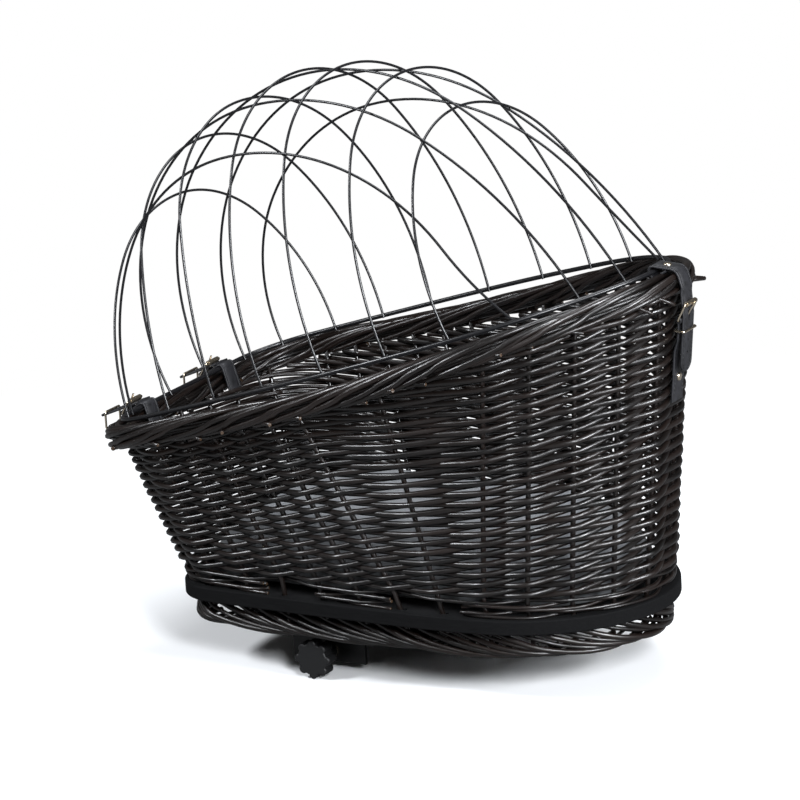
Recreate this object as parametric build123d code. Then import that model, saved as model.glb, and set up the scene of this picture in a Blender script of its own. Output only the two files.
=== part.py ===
"""Dog bicycle basket: woven willow basket on a drilled board, hinged wire dome,
leather straps, and a steel clamp that grips a bicycle rack from both sides.

Millimetres. +X points rearwards, +Y to the right-hand side of the bicycle, +Z up.
The origin is the centre of the clamp plate's underside, which lies on the rack.
"""
import os
from math import acos, asin, atan2, cos, hypot, pi, radians, sin

from build123d import *

OUT = "parts"
LOW = (Align.CENTER, Align.CENTER, Align.MIN)
HIGH = (Align.CENTER, Align.CENTER, Align.MAX)

# Gaps and overruns that several pieces share
clearance = 0.3
running_gap = 0.06
seat_gap = 0.1
overrun = 4.0

# Clamp plate, the seat on the rack
plate_length = 196.0
plate_width = 177.0
plate_thickness = 2.5
plate_corner_radius = 8.0
pocket_depth = 0.4

# Battens and bolts that carry the board on the plate
batten_length = 150.0
batten_width = 30.0
batten_height = 27.5
batten_spacing = 90.0
bolt_radius = 3.0
bolt_spacing = 110.0
bolt_head_radius = 6.0
bolt_nut_width = 10.0
bolt_nut_height = 5.0
bolt_washer_radius = 6.0
bolt_washer_thickness = 1.2
nut_recess_radius = 8.0
nut_recess_depth = 7.0

# Board that the basket is woven on
board_thickness = 13.0
board_widest_x = 110.0
board_front_length = 245.0
board_rear_length = 186.0
board_half_width = 126.0
board_side_front_radius = 4000.0
board_corner_radius = 45.0
board_side_rear_share = 2.2082
board_shoulder_radius = 135.0
board_nose_radius = 105.0
board_edge_radius = 1.5

# Foot border, the plaited ring under the board
foot_inset = 8.0
foot_width = 14.0
foot_height = 22.0
foot_gap = 3.0
foot_round = 5.0

# Stakes that run from the foot border through the board into the waling
stake_count = 30
stake_radius = 2.2
stake_foot_bite = 9.0
stake_head_gap = 1.2

# Woven wall and the waling band at its base
wall_board_inset = 3.0
wall_thickness = 13.0
wall_front_outset = 5.0
wall_rear_outset = 14.0
wall_side_outset = 8.0
waling_height = 16.0
notch_height = 13.0
notch_front_x = -7.5
notch_front_length = 47.0
notch_rear_x = 125.5
notch_rear_length = 63.0

# Dome ring, on a plane that climbs rearwards
ring_slope = 16.36
ring_widest_x = 30.8
ring_widest_z = 248.2
ring_wire_radius = 2.0
ring_front_length = 215.5
ring_rear_length = 280.6
ring_half_width = 152.0
ring_side_front_radius = 1800.0
ring_corner_radius = 55.0
ring_side_rear_share = 1.36555
ring_shoulder_radius = 200.0
ring_nose_radius = 80.0

# Rim border, the thick plaited edge that the ring lies on
rim_inner_inset = 1.3
rim_outset = 20.0
rim_height = 21.7
rim_round = 7.0

# Dome arches, wire bows welded inside the ring. Shares of the half outline from the front centre
arch_wire_radius = 1.15
arch_tail = 2.0
weld_bite = 0.15
foot_shares = (0.045, 0.140, 0.205, 0.287, 0.362, 0.438, 0.529, 0.619, 0.705, 0.790, 0.876, 0.942)
feet_before_cross_count = 2
cross_rises = (165.8, 208.6, 231.8, 241.4, 236.1, 217.3, 178.0)
cross_leans = (7.6, 3.2, -1.6, 0.0, 3.0, 3.0, 8.0)
cross_apex_shares = (0.159, 0.031, -0.117, 0.0, 0.0, 0.0, 0.0)
cross_left_along_shares = (0.571, 0.781, 0.838, 0.709, 0.709, 0.709, 0.709)
cross_left_up_shares = (0.785, 0.632, 0.651, 0.753, 0.753, 0.753, 0.753)
cross_right_along_share = 0.709
cross_right_up_share = 0.753
feet_before_long_count = 9
long_rises = (194.2, 226.9, 238.1, 224.0, 190.0)
long_apex_shares = (0.146, 0.190, 0.120, 0.150, 0.150)
long_rear_along_shares = (0.80, 0.60, 0.60, 0.60, 0.80)
long_rear_up_shares = (0.375, 0.722, 0.720, 0.712, 0.410)
long_front_along_shares = (0.690, 0.729, 0.698, 0.760, 0.760)
long_front_up_shares = (0.714, 0.756, 0.776, 0.700, 0.700)

# Cushion on the board
cushion_gap = 2.0
cushion_height = 46.0
cushion_bottom_share = 0.94
cushion_shoulder_share = 0.93
cushion_crown_share = 0.60
cushion_widest_share = 0.40
cushion_shoulder_height_share = 0.80

# Leather straps and their buckles
strap_width = 20.0
strap_thickness = 2.0
strap_end_radius = 9.0
ring_loop_gap = 1.2
buckle_wire_radius = 1.0
buckle_side_gap = 0.6
buckle_corner_radius = 1.5
roller_radius = 2.2
roller_length = 17.0
prong_radius = 0.8
prong_eye_radius = 2.0
prong_eye_width = 2.6
prong_slot_width = 3.2
prong_overhang = 3.5
heel_fold_radius = 2.9

# Front straps, each round the ring and the rim
front_strap_y = 66.0
front_loop_round = 1.4
front_tongue_lift = 13.0
front_tongue_length = 47.0
front_roller_run = 8.0
front_heel_run = 20.0
front_heel_rise = 0.9
front_slot_start = 12.5
front_slot_length = 9.0
front_keeper_run = 36.0
front_keeper_height = 15.0

# Rear strap: drops are measured down the wall from the lower edge of the rim
rear_lap = 12.5
rear_roller_drop = 12.5
rear_heel_drop = 27.5
rear_keeper_drop = 36.0
rear_lift_start_drop = 45.0
rear_lift_end_drop = 55.0
rear_tip_drop = 73.0
rear_rivet_drop = 79.0
rear_anchor_drop = 100.0
rear_bulge = 3.0
rear_bulge_start_drop = 5.0
rear_bulge_end_drop = 23.0
rear_bulge_round = 9.0
rear_loop_round_share = 0.85
rear_loop_drop_share = 1.35
rear_rivet_run = 9.5
rear_lap_thickness = 6.0
keeper_corner_radius = 1.4
rear_slot_start_drop = 18.5
rear_slot_length = 10.0
rivet_radius = 1.5
rivet_head_radius = 3.6
rivet_head_height = 1.6
rivet_round_share = 0.8
rivet_burr_radius = 3.0
rivet_burr_height = 0.6

# Clamp brackets, rod and knobs
bracket_leg_length = 72.0
bracket_ear_length = 94.0
bracket_thickness = 3.0
bracket_leg_inset = 13.5
bracket_flange_width = 16.5
bracket_depth = 28.0
bracket_travel = 10.0
guide_spacing = 80.0
guide_inset = 6.5
guide_radius = 2.5
guide_head_radius = 4.5
guide_head_height = 2.6
guide_nut_width = 8.0
guide_nut_height = 4.0
rod_radius = 4.0
rod_drop = 17.5
rod_engagement = 13.0
washer_radius = 9.0
washer_thickness = 1.6
knob_hub_radius = 10.5
knob_hub_length = 16.0
knob_head_radius = 14.5
knob_head_length = 13.0
knob_lobe_radius = 4.0
knob_lobe_count = 8
knob_lobe_pitch_radius = 13.5
knob_edge_radius = 1.5
knob_neck_share = 0.85
knob_skin = 3.0

# Levels and frames worked out from the sizes above
board_bottom_z = plate_thickness + batten_height
board_top_z = board_bottom_z + board_thickness
waling_top_z = board_top_z + waling_height
bracket_leg_y = plate_width / 2 - bracket_leg_inset
guide_y = plate_width / 2 - guide_inset
slope = radians(ring_slope)
ring_plane = Plane(
    origin=(ring_widest_x, 0, ring_widest_z),
    x_dir=(cos(slope), 0, sin(slope)),
    z_dir=(-sin(slope), 0, cos(slope)),
)
rear_plane = Plane(
    origin=(ring_plane * Pos(ring_rear_length, 0, 0)).position,
    x_dir=ring_plane.x_dir,
    z_dir=(0, -1, 0),
)
rim_top = -(ring_wire_radius + clearance)
rim_bottom = rim_top - rim_height



def side_rear_radius(half_width, rear_length, nose_radius, share):
    """Radius of a rear side arc: a share of the least one that still reaches the nose arc."""
    nose_x = rear_length - nose_radius
    least = (half_width**2 + nose_x**2 - nose_radius**2) / (half_width - nose_radius) / 2
    return share * least


board_sizes = (
    board_front_length,
    board_rear_length,
    board_half_width,
    board_side_front_radius,
    board_corner_radius,
    side_rear_radius(board_half_width, board_rear_length, board_nose_radius, board_side_rear_share),
    board_shoulder_radius,
    board_nose_radius,
)
ring_sizes = (
    ring_front_length,
    ring_rear_length,
    ring_half_width,
    ring_side_front_radius,
    ring_corner_radius,
    side_rear_radius(ring_half_width, ring_rear_length, ring_nose_radius, ring_side_rear_share),
    ring_shoulder_radius,
    ring_nose_radius,
)


def egg_arcs(sizes, outset=0, front_extra=0, rear_extra=0):
    """Half of an egg-shaped outline: the half front edge and five tangent arcs to the rear.

    Each arc is (centre x, centre y, radius, first angle, last angle), angles from +X.
    """
    front, rear, wide, side_front, corner, side_rear, shoulder, nose = (size + outset for size in sizes)
    front += front_extra
    rear += rear_extra
    side_turn = asin((front - corner) / (side_front - corner))
    outer = side_rear - shoulder
    inner = shoulder - nose
    across = side_rear - wide
    along = rear - nose
    bend = acos((across**2 + along**2 - outer**2 - inner**2) / (2 * outer * inner))
    rear_turn = atan2(along, across) - atan2(inner * sin(bend), outer + inner * cos(bend))
    half_front = wide - side_front * (1 - cos(side_turn)) - corner * cos(side_turn)
    quarter = pi / 2
    shoulder_x = outer * sin(rear_turn)
    shoulder_y = wide - side_rear + outer * cos(rear_turn)
    arcs = (
        (corner - front, half_front, corner, pi, quarter + side_turn),
        (0, wide - side_front, side_front, quarter + side_turn, quarter),
        (0, wide - side_rear, side_rear, quarter, quarter - rear_turn),
        (shoulder_x, shoulder_y, shoulder, quarter - rear_turn, quarter - rear_turn - bend),
        (rear - nose, 0, nose, quarter - rear_turn - bend, 0),
    )
    return front, half_front, arcs


def on_arc(arc, angle, inset=0, side=1):
    """Point of an outline arc at an angle, moved inwards by an inset; side -1 mirrors it."""
    x, y, radius, _, _ = arc
    return (x + (radius - inset) * cos(angle), side * (y + (radius - inset) * sin(angle)))


def egg_wire(sizes, outset=0, front_extra=0, rear_extra=0, share=1):
    """Closed egg-shaped outline of one line and nine arcs."""
    scaled = [size * share for size in sizes]
    front, half_front, arcs = egg_arcs(scaled, outset * share, front_extra, rear_extra)
    edges = [Line((-front, -half_front), (-front, half_front))]
    for arc in arcs[:-1]:
        edges.append(egg_edge(arc, 1))
    nose = arcs[-1]
    edges.append(ThreePointArc(on_arc(nose, nose[3]), on_arc(nose, 0), on_arc(nose, nose[3], side=-1)))
    for arc in reversed(arcs[:-1]):
        edges.append(egg_edge(arc, -1))
    return Wire([edge.edge() for edge in edges])


def egg_edge(arc, side):
    """One arc of an outline, drawn rearwards on the right side and forwards on the left."""
    first, last = (arc[3], arc[4]) if side > 0 else (arc[4], arc[3])
    angles = (first, (first + last) / 2, last)
    return ThreePointArc(*[on_arc(arc, angle, side=side) for angle in angles])


def egg_point(sizes, share, side, inset=0, front_extra=0, rear_extra=0, outset=0):
    """Point at a share of the half outline from the front centre, moved inwards by an inset."""
    front, half_front, arcs = egg_arcs(sizes, outset, front_extra, rear_extra)
    lengths = [half_front] + [arc[2] * abs(arc[3] - arc[4]) for arc in arcs]
    run = share * sum(lengths)
    if run <= lengths[0]:
        return (inset - front, side * run)
    run -= lengths[0]
    for arc, length in zip(arcs, lengths[1:]):
        if run <= length or arc is arcs[-1]:
            angle = arc[3] + (arc[4] - arc[3]) * run / length
            return on_arc(arc, angle, inset, side)
        run -= length


def egg_block(sizes, bottom, height, outset=0):
    """Upright prism of an outline."""
    face = make_face(egg_wire(sizes, outset))
    return extrude(Pos(0, 0, bottom) * face, height)


def ringed_block(sizes, bottom, height, outer, inner):
    """Upright band between two outsets of an outline."""
    hole = egg_block(sizes, bottom - overrun, height + 2 * overrun, inner)
    return egg_block(sizes, bottom, height, outer) - hole


def at_board(shape):
    """Move a shape drawn round the widest station to its place over the board."""
    return Pos(board_widest_x, 0, 0) * shape


def stake_line(index):
    """Foot and head of one stake: from the middle of the foot border to the middle of the waling."""
    side = 1 if index % 2 else -1
    share = (index // 2 + 1 / 2) / (stake_count / 2)
    foot = egg_point(board_sizes, share, side, foot_inset + foot_width / 2)
    head = egg_point(board_sizes, share, side, wall_board_inset + wall_thickness / 2)
    wall_foot = egg_point(board_sizes, share, side, wall_board_inset)
    wall_head = egg_point(ring_sizes, share, side, -wall_side_outset)
    climb = (ring_plane * Pos(*wall_head, rim_bottom)).position
    climb -= Vector(wall_foot[0] + board_widest_x, wall_foot[1], board_top_z)
    rise = waling_height - stake_head_gap
    lean = climb * (rise / climb.Z)
    start = Vector(foot[0] + board_widest_x, foot[1], board_bottom_z - foot_gap - stake_foot_bite)
    end = Vector(head[0] + board_widest_x + lean.X, head[1] + lean.Y, board_top_z + rise)
    return start, end


def stake_rods(extra=0):
    """All stakes as round rods, with an extra radius for their holes."""
    rods = []
    for index in range(stake_count):
        start, end = stake_line(index)
        plane = Plane(origin=start, z_dir=end - start)
        length = (end - start).length
        rods.append(plane * Pos(0, 0, length / 2) * Cylinder(stake_radius + extra, length))
    return rods


def base_board():
    """Board with softened edges, stake holes and recessed bolt holes."""
    board = at_board(egg_block(board_sizes, board_bottom_z, board_thickness))
    levels = board.edges().group_by(Axis.Z)
    board = fillet(levels[0] + levels[-1], board_edge_radius)
    board -= stake_rods(running_gap)
    recess_z = board_top_z - nut_recess_depth
    for place in bolt_places():
        hole = Cylinder(bolt_radius + running_gap, 2 * board_thickness)
        recess = Cylinder(nut_recess_radius, nut_recess_depth, align=LOW)
        board -= place * Pos(0, 0, board_bottom_z) * hole
        board -= place * Pos(0, 0, recess_z) * recess
    return board


def foot_border():
    """Plaited ring of stake ends, a rounded band hung below the board."""
    bottom = board_bottom_z - foot_gap - foot_height
    band = ringed_block(board_sizes, bottom, foot_height, -foot_inset, -(foot_inset + foot_width))
    levels = band.edges().group_by(Axis.Z)
    band = at_board(fillet(levels[0] + levels[-1], foot_round))
    return band - stake_rods(running_gap)


def wall_shell():
    """Ruled shell from the board to the underside of the rim, waling and wall together."""
    shells = []
    for inset in (0, wall_thickness):
        low = make_face(egg_wire(board_sizes, -(wall_board_inset + inset)))
        high = make_face(
            egg_wire(
                ring_sizes,
                wall_side_outset - inset,
                wall_front_outset - wall_side_outset,
                wall_rear_outset - wall_side_outset,
            )
        )
        low = Pos(board_widest_x, 0, board_top_z) * low
        high = ring_plane * Pos(0, 0, rim_bottom) * high
        shells.append(loft([low, high], ruled=True))
    return shells[0] - shells[1]


def waling_band(shell):
    """First rows of heavier weave, with a lashing notch near each end of both sides."""
    band = split(shell, Plane.XY.offset(waling_top_z), keep=Keep.BOTTOM)
    for middle, length in ((notch_front_x, notch_front_length), (notch_rear_x, notch_rear_length)):
        for side in (-1, 1):
            width = 2 * (wall_board_inset + wall_thickness + overrun)
            place = Pos(middle, side * (board_half_width - wall_board_inset), board_top_z)
            band -= place * Box(length, width, notch_height, align=LOW)
    return band - stake_rods(running_gap)


def wall_weave(shell):
    """Woven wall, slotted under the rim for the front straps and bored for the rear rivet."""
    wall = split(shell, Plane.XY.offset(waling_top_z), keep=Keep.TOP)
    slot_depth = strap_thickness + 2 * seat_gap
    for side in (-1, 1):
        slot = Box(2 * (rim_outset + overrun), strap_width + 2 * clearance, slot_depth, align=HIGH)
        wall -= ring_plane * Pos(-ring_front_length, side * front_strap_y, rim_bottom) * slot
    axis = rear_plane.location * rear_drop_frame()[0].location * rivet_axis().location
    wall -= axis * Cylinder(rivet_radius + running_gap, 4 * wall_thickness)
    return wall


def rim_border():
    """Thick plaited edge, rounded outside, with a pocket for the rear strap's loop."""
    rim = ringed_block(ring_sizes, rim_bottom, rim_height, rim_outset, -rim_inner_inset)
    levels = rim.faces().sort_by(Axis.Z)
    outers = levels[0].outer_wire().edges() + levels[-1].outer_wire().edges()
    rim = fillet(outers, rim_round)
    loop = ring_wire_radius + ring_loop_gap + strap_thickness / 2
    depth = loop * rear_loop_drop_share + strap_thickness / 2 + clearance
    pocket = Box(2 * (rear_lap + 2 * clearance), strap_width + 2 * clearance, depth, align=HIGH)
    rim -= Pos(ring_rear_length, 0, 0) * pocket
    return ring_plane * rim


def dome_ring():
    """Heavier wire bent to the outline of the rim."""
    path = egg_wire(ring_sizes)
    section = Plane(origin=path @ 0, z_dir=path % 0) * Circle(ring_wire_radius)
    return ring_plane * sweep(section, path)


def foot_place(index):
    """Foot of an arch on the inside of the ring, counted from the left of the front centre."""
    count = len(foot_shares)
    if index < count:
        share, side = foot_shares[index], -1
    else:
        share, side = foot_shares[2 * count - 1 - index], 1
    inset = ring_wire_radius + arch_wire_radius - weld_bite
    x, y = egg_point(ring_sizes, share, side, inset)
    return Vector(x, y, 0)


def arch(first, last, rise, lean, apex_share, first_shoulder, last_shoulder):
    """One wire bow between two feet: four tangent arcs and a short straight tail at each foot.

    Shoulders are shares (of the half span, of the rise). The ring plane is z = 0.
    """
    middle = (first + last) / 2
    half = (last - first).length / 2
    along = (last - first).normalized()
    upright = Vector(-sin(radians(lean)), 0, cos(radians(lean)))
    up = (upright - along * upright.dot(along)).normalized()
    plane = Plane(origin=middle, x_dir=along, z_dir=along.cross(up))
    apex_x = apex_share * half
    right = (apex_x + (half - apex_x) * last_shoulder[0], rise * last_shoulder[1])
    left = (apex_x - (half + apex_x) * first_shoulder[0], rise * first_shoulder[1])
    edges = []
    for shoulder, foot, way in ((left, (-half, 0), -1), (right, (half, 0), 1)):
        crown = TangentArc((apex_x, rise), shoulder, tangent=(way, 0))
        leg = TangentArc(shoulder, foot, tangent=crown % 1)
        heading = leg % 1
        tail = Line(leg @ 1, leg @ 1 + heading * arch_tail)
        edges.append([crown.edge(), leg.edge(), tail.edge()])
    path = Wire(edges[0][::-1] + edges[1])
    section = Plane(origin=path @ 0, z_dir=path % 0) * Circle(arch_wire_radius)
    return ring_plane * plane * sweep(section, path)


def cross_arch(index):
    """Hoop across the basket."""
    first = feet_before_cross_count + index
    last = 2 * len(foot_shares) - feet_before_cross_count - first
    left = (cross_left_along_shares[index], cross_left_up_shares[index])
    right = (cross_right_along_share, cross_right_up_share)
    ends = (foot_place(first), foot_place(last))
    apex_share = cross_apex_shares[index]
    return arch(*ends, cross_rises[index], cross_leans[index], apex_share, left, right)


def long_arch(index):
    """Bow from the rear to the front, its apex forward of the middle."""
    first = feet_before_long_count + index
    last = (1 - index) % (2 * len(foot_shares))
    rear = (long_rear_along_shares[index], long_rear_up_shares[index])
    front = (long_front_along_shares[index], long_front_up_shares[index])
    ends = (foot_place(first), foot_place(last))
    return arch(*ends, long_rises[index], 0, long_apex_shares[index], rear, front)


def cushion():
    """Loose cushion: sides drawn in at top and bottom, and a crown."""
    inset = wall_board_inset + wall_thickness + cushion_gap
    levels = (
        (0, cushion_bottom_share),
        (cushion_widest_share, 1),
        (cushion_shoulder_height_share, cushion_shoulder_share),
        (1, cushion_crown_share),
    )
    bottom = board_top_z + clearance
    faces = []
    for level, share in levels:
        outline = egg_wire(board_sizes, -inset, share=share)
        faces.append(Pos(board_widest_x, 0, bottom + level * cushion_height) * make_face(outline))
    return loft(faces)


def unit(angle):
    """Unit direction in a section plane."""
    return Vector(cos(angle), sin(angle), 0)


def strap_body(points, radii, width):
    """Flat leather strap from its line in a section plane."""
    line = FilletPolyline(*points, radius=radii) if radii else Line(*points)
    return extrude(trace(line, strap_thickness), width / 2, both=True)


def rounded_end(strap, end):
    """Round the two corners of a strap at its free end."""
    face = strap.faces().sort_by_distance(end)[0]
    corners = face.edges().sort_by(SortBy.LENGTH)[:2]
    return fillet(corners, strap_end_radius)


def wire_loop(length, height, corner):
    """Closed rectangle of round wire, from x = 0 to its length, centred on y = 0."""
    path = (Pos(length / 2, 0) * RectangleRounded(length, height, corner)).face().outer_wire()
    section = Plane(origin=path @ 0, z_dir=path % 0) * Circle(buckle_wire_radius)
    return sweep(section, path)


def across_rod(radius, length):
    """Round bar along the local y axis."""
    return Rot(90, 0, 0) * Cylinder(radius, length)


def buckle(place, heel, roller):
    """Frame, roller and prong of one buckle, between the heel bar and the roller bar."""
    run = (roller - heel).length
    ahead = (roller - heel).normalized()
    seat = place * Plane(origin=heel, x_dir=ahead, z_dir=(ahead.Y, -ahead.X, 0)).location
    wide = strap_width + 2 * (buckle_side_gap + buckle_wire_radius)
    frame = wire_loop(run, wide, buckle_corner_radius)
    bore = buckle_wire_radius + running_gap
    tube = across_rod(roller_radius, roller_length) - across_rod(bore, roller_length + overrun)
    eye = across_rod(prong_eye_radius, prong_eye_width)
    rise = roller_radius + prong_radius + running_gap
    start = Vector(0, 0, (bore + prong_eye_radius) / 2)
    end = Vector(run + prong_overhang, 0, rise + (rise - start.Z) * prong_overhang / run)
    pin = Cylinder(prong_radius, (end - start).length, align=LOW)
    prong = eye + Plane(origin=start, z_dir=end - start) * pin - across_rod(bore, roller_length)
    return seat * frame, seat * Pos(run, 0, 0) * tube, seat * prong


def heel_fold():
    """Leather folded round the heel bar, split for the prong."""
    split_for_prong = Cylinder(heel_fold_radius + clearance, prong_slot_width)
    return Cylinder(heel_fold_radius, strap_width) - split_for_prong


def front_plane(side):
    """Section plane of a front strap: x outwards from the ring wire, y square to the ring."""
    middle = ring_plane * Pos(-ring_front_length, side * front_strap_y, 0)
    return Plane(origin=middle.position, x_dir=-ring_plane.x_dir, z_dir=(0, 1, 0))


def front_loop_cores():
    """Round corners of the front loop: the ring, two outer rim corners and the inner lower one."""
    ring_core = ring_wire_radius + clearance
    rim_core = rim_outset - rim_round
    return (
        (0, 0, ring_core),
        (rim_core, rim_top - rim_round, rim_round + seat_gap),
        (rim_core, rim_bottom + rim_round, rim_round + seat_gap),
        (front_loop_round - ring_core, rim_bottom - seat_gap + front_loop_round, front_loop_round),
    )


def front_band_frame():
    """Frame on the band's outer face: origin over the ring, x along the band, y away from it."""
    x0, y0, r0 = front_loop_cores()[0]
    x1, y1, r1 = front_loop_cores()[1]
    heading = atan2(y1 - y0, x1 - x0) + asin((r1 - r0) / hypot(x1 - x0, y1 - y0))
    normal = unit(heading + pi / 2)
    origin = normal * (r0 + strap_thickness)
    return Plane(origin=origin, x_dir=unit(heading), z_dir=(0, 0, 1))


def front_heel():
    """Heel bar of the front buckle, in the band frame."""
    return Vector(front_heel_run, front_heel_rise, 0)


def front_roller():
    """Roller bar of the front buckle, clear above the tongue, in the band frame."""
    lift = radians(front_tongue_lift)
    low = strap_thickness / 2 - clearance
    high = strap_thickness / 2 + clearance + roller_radius
    rise = front_roller_run * sin(lift) / cos(lift) + low + high / cos(lift)
    return Vector(front_roller_run, rise, 0)


def front_tongue_point(run, above=0):
    """Point on the tongue's middle line at a run from its root, in the band frame."""
    lift = radians(front_tongue_lift)
    root = Vector(0, strap_thickness / 2 - clearance, 0)
    return root + unit(lift) * run + unit(lift + pi / 2) * above


def front_strap():
    """Front strap in its section: a loop round ring and rim, a fold at the heel bar, a tongue."""
    outer = [Pos(x, y) * Circle(r + strap_thickness) for x, y, r in front_loop_cores()]
    inner = [Pos(x, y) * Circle(r) for x, y, r in front_loop_cores()]
    loop = make_hull([c.edge() for c in outer]) - make_hull([c.edge() for c in inner])
    band = extrude(loop, strap_width / 2, both=True)
    frame = front_band_frame()
    end = front_tongue_point(front_tongue_length)
    tongue = strap_body([front_tongue_point(0), end], None, strap_width)
    tongue = rounded_end(tongue, end)
    slot = Box(front_slot_length, 4 * strap_thickness, prong_slot_width)
    middle = front_tongue_point(front_slot_start + front_slot_length / 2)
    tongue -= Pos(middle) * Rot(0, 0, front_tongue_lift) * slot
    fold = Pos(front_heel()) * heel_fold()
    strap = band + frame * tongue + frame * fold
    bore = Cylinder(buckle_wire_radius + running_gap, strap_width + overrun)
    split_for_prong = Cylinder(prong_eye_radius + clearance, prong_slot_width)
    return strap - frame * Pos(front_heel()) * bore - frame * Pos(front_heel()) * split_for_prong


def front_keeper():
    """Wire keeper that hangs from the tongue, in the band frame's section."""
    frame = front_band_frame()
    above = strap_thickness / 2 + seat_gap + buckle_wire_radius
    top = frame * Pos(front_tongue_point(front_keeper_run, above))
    down = Vector(sin(slope), -cos(slope), 0)
    wide = strap_width + 2 * (buckle_side_gap + buckle_wire_radius)
    seat = Plane(origin=top.position, x_dir=down, z_dir=(down.Y, -down.X, 0))
    return seat * wire_loop(front_keeper_height, wide, buckle_corner_radius)


def rear_drop_frame():
    """Frame of the hanging strap: origin below the rim, x down the wall, y away from the wall."""
    wall_top = Vector(wall_rear_outset, rim_bottom, 0)
    foot_x = board_widest_x + board_rear_length - wall_board_inset
    wall_foot = rear_plane.to_local_coords(Vector(foot_x, 0, board_top_z))
    down = (wall_foot - wall_top).normalized()
    away = Vector(-down.Y, down.X, 0)
    core = Vector(rim_outset - rim_round, rim_bottom + rim_round, 0)
    origin = core + away * (rim_round + clearance + strap_thickness / 2)
    return Plane(origin=origin, x_dir=down, z_dir=(0, 0, 1)), (wall_top - origin).dot(away)


def rear_heel():
    """Heel bar of the rear buckle, behind the bulging billet, in the drop frame."""
    rise = rear_bulge - strap_thickness / 2 - clearance - heel_fold_radius
    return Vector(rear_heel_drop, rise, 0)


def rear_roller():
    """Roller bar of the rear buckle, in front of the billet, in the drop frame."""
    share = (rear_roller_drop - rear_bulge_start_drop) / (rear_bulge_end_drop - rear_bulge_start_drop)
    tilt = atan2(rear_bulge, rear_bulge_end_drop - rear_bulge_start_drop)
    over = (strap_thickness / 2 + clearance + roller_radius) / cos(tilt)
    return Vector(rear_roller_drop, rear_bulge * share + over, 0)


def rear_top_line():
    """Start and heading of the billet's run from the ring loop to the rim's outer corner."""
    loop = ring_wire_radius + ring_loop_gap + strap_thickness / 2
    reach = rim_round + clearance + strap_thickness / 2
    core_x = rim_outset - rim_round
    core_y = rim_top - rim_round
    heading = atan2(core_y, core_x) + asin((reach - loop) / hypot(core_x, core_y))
    return Vector(-loop, loop * (1 - sin(heading)) / cos(heading), 0), heading


def rear_billet():
    """Billet: looped round the ring and lapped, over the rim, down in front of the buckle."""
    drop, _ = rear_drop_frame()
    start, heading = rear_top_line()
    line = unit(heading)
    reach = rim_round + clearance + strap_thickness / 2
    outer = rim_outset - rim_round + reach
    corner = start + line * ((outer - start.X) / line.X)
    lap = start + line * ((rear_lap - start.X) / line.X)
    lap -= unit(heading + pi / 2) * (strap_thickness + seat_gap)
    down = drop.x_dir
    lower_y = drop.origin.Y + down.Y * (outer - drop.origin.X) / down.X
    place = [(drop * Pos(x, y)).position for x, y in (
        (rear_bulge_start_drop, 0),
        (rear_bulge_end_drop, rear_bulge),
        (rear_tip_drop, rear_bulge),
    )]
    loop_foot = Vector(start.X, start.X * rear_loop_drop_share, 0)
    points = [lap, loop_foot, start, corner, Vector(outer, lower_y, 0), *place]
    loop_round = -start.X * rear_loop_round_share
    radii = (loop_round, loop_round, reach, reach, rear_bulge_round, rear_bulge_round)
    billet = strap_body(points, radii, strap_width)
    billet = rounded_end(billet, place[-1])
    slot = Box(rear_slot_length, 4 * strap_thickness, prong_slot_width)
    billet -= drop * Pos(rear_slot_start_drop + rear_slot_length / 2, rear_bulge, 0) * slot
    return billet - rear_billet_rivet_seat() * Cylinder(rivet_radius, 4 * rear_lap_thickness)


def rear_billet_rivet_seat():
    """Place of the rivet through the two layers beside the ring."""
    start, heading = rear_top_line()
    middle = start + unit(heading) * ((rear_rivet_run - start.X) / cos(heading))
    top = middle + unit(heading + pi / 2) * strap_thickness / 2
    return Plane(origin=top, z_dir=unit(heading + pi / 2))


def rivet(shank):
    """Round-headed rivet, its head on z = 0 and its shank below."""
    head = Cylinder(rivet_head_radius, rivet_head_height, align=LOW)
    head = fillet(head.edges().group_by(Axis.Z)[-1], rivet_head_height * rivet_round_share)
    return head + Cylinder(rivet_radius, shank, align=HIGH)


def rear_billet_rivet():
    """Rivet that closes the loop round the ring."""
    return rear_billet_rivet_seat() * rivet(rear_lap_thickness)


def rear_anchor():
    """Anchor strap on the wall, lifted where the keeper passes and folded round the heel bar."""
    drop, wall = rear_drop_frame()
    level = wall + seat_gap + strap_thickness / 2
    heel = rear_heel()
    lifted = Vector(rear_lift_start_drop, heel.Y, 0)
    line = (heel, lifted, Vector(rear_lift_end_drop, level, 0), Vector(rear_anchor_drop, level, 0))
    leaf = strap_body(line, (rear_bulge_round, rear_bulge_round), strap_width)
    anchor = leaf + Pos(heel) * heel_fold()
    anchor -= Pos(heel) * Cylinder(buckle_wire_radius + clearance, strap_width + overrun)
    anchor -= Pos(heel) * Cylinder(prong_eye_radius + clearance, prong_slot_width)
    anchor -= rivet_axis() * Cylinder(rivet_radius, 4 * strap_thickness)
    return drop * anchor


def rivet_axis():
    """Axis of the anchor's rivet in the drop frame, its origin on the anchor's outer face."""
    _, wall = rear_drop_frame()
    return Plane(origin=(rear_rivet_drop, wall + seat_gap + strap_thickness, 0), z_dir=(0, 1, 0))


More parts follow.
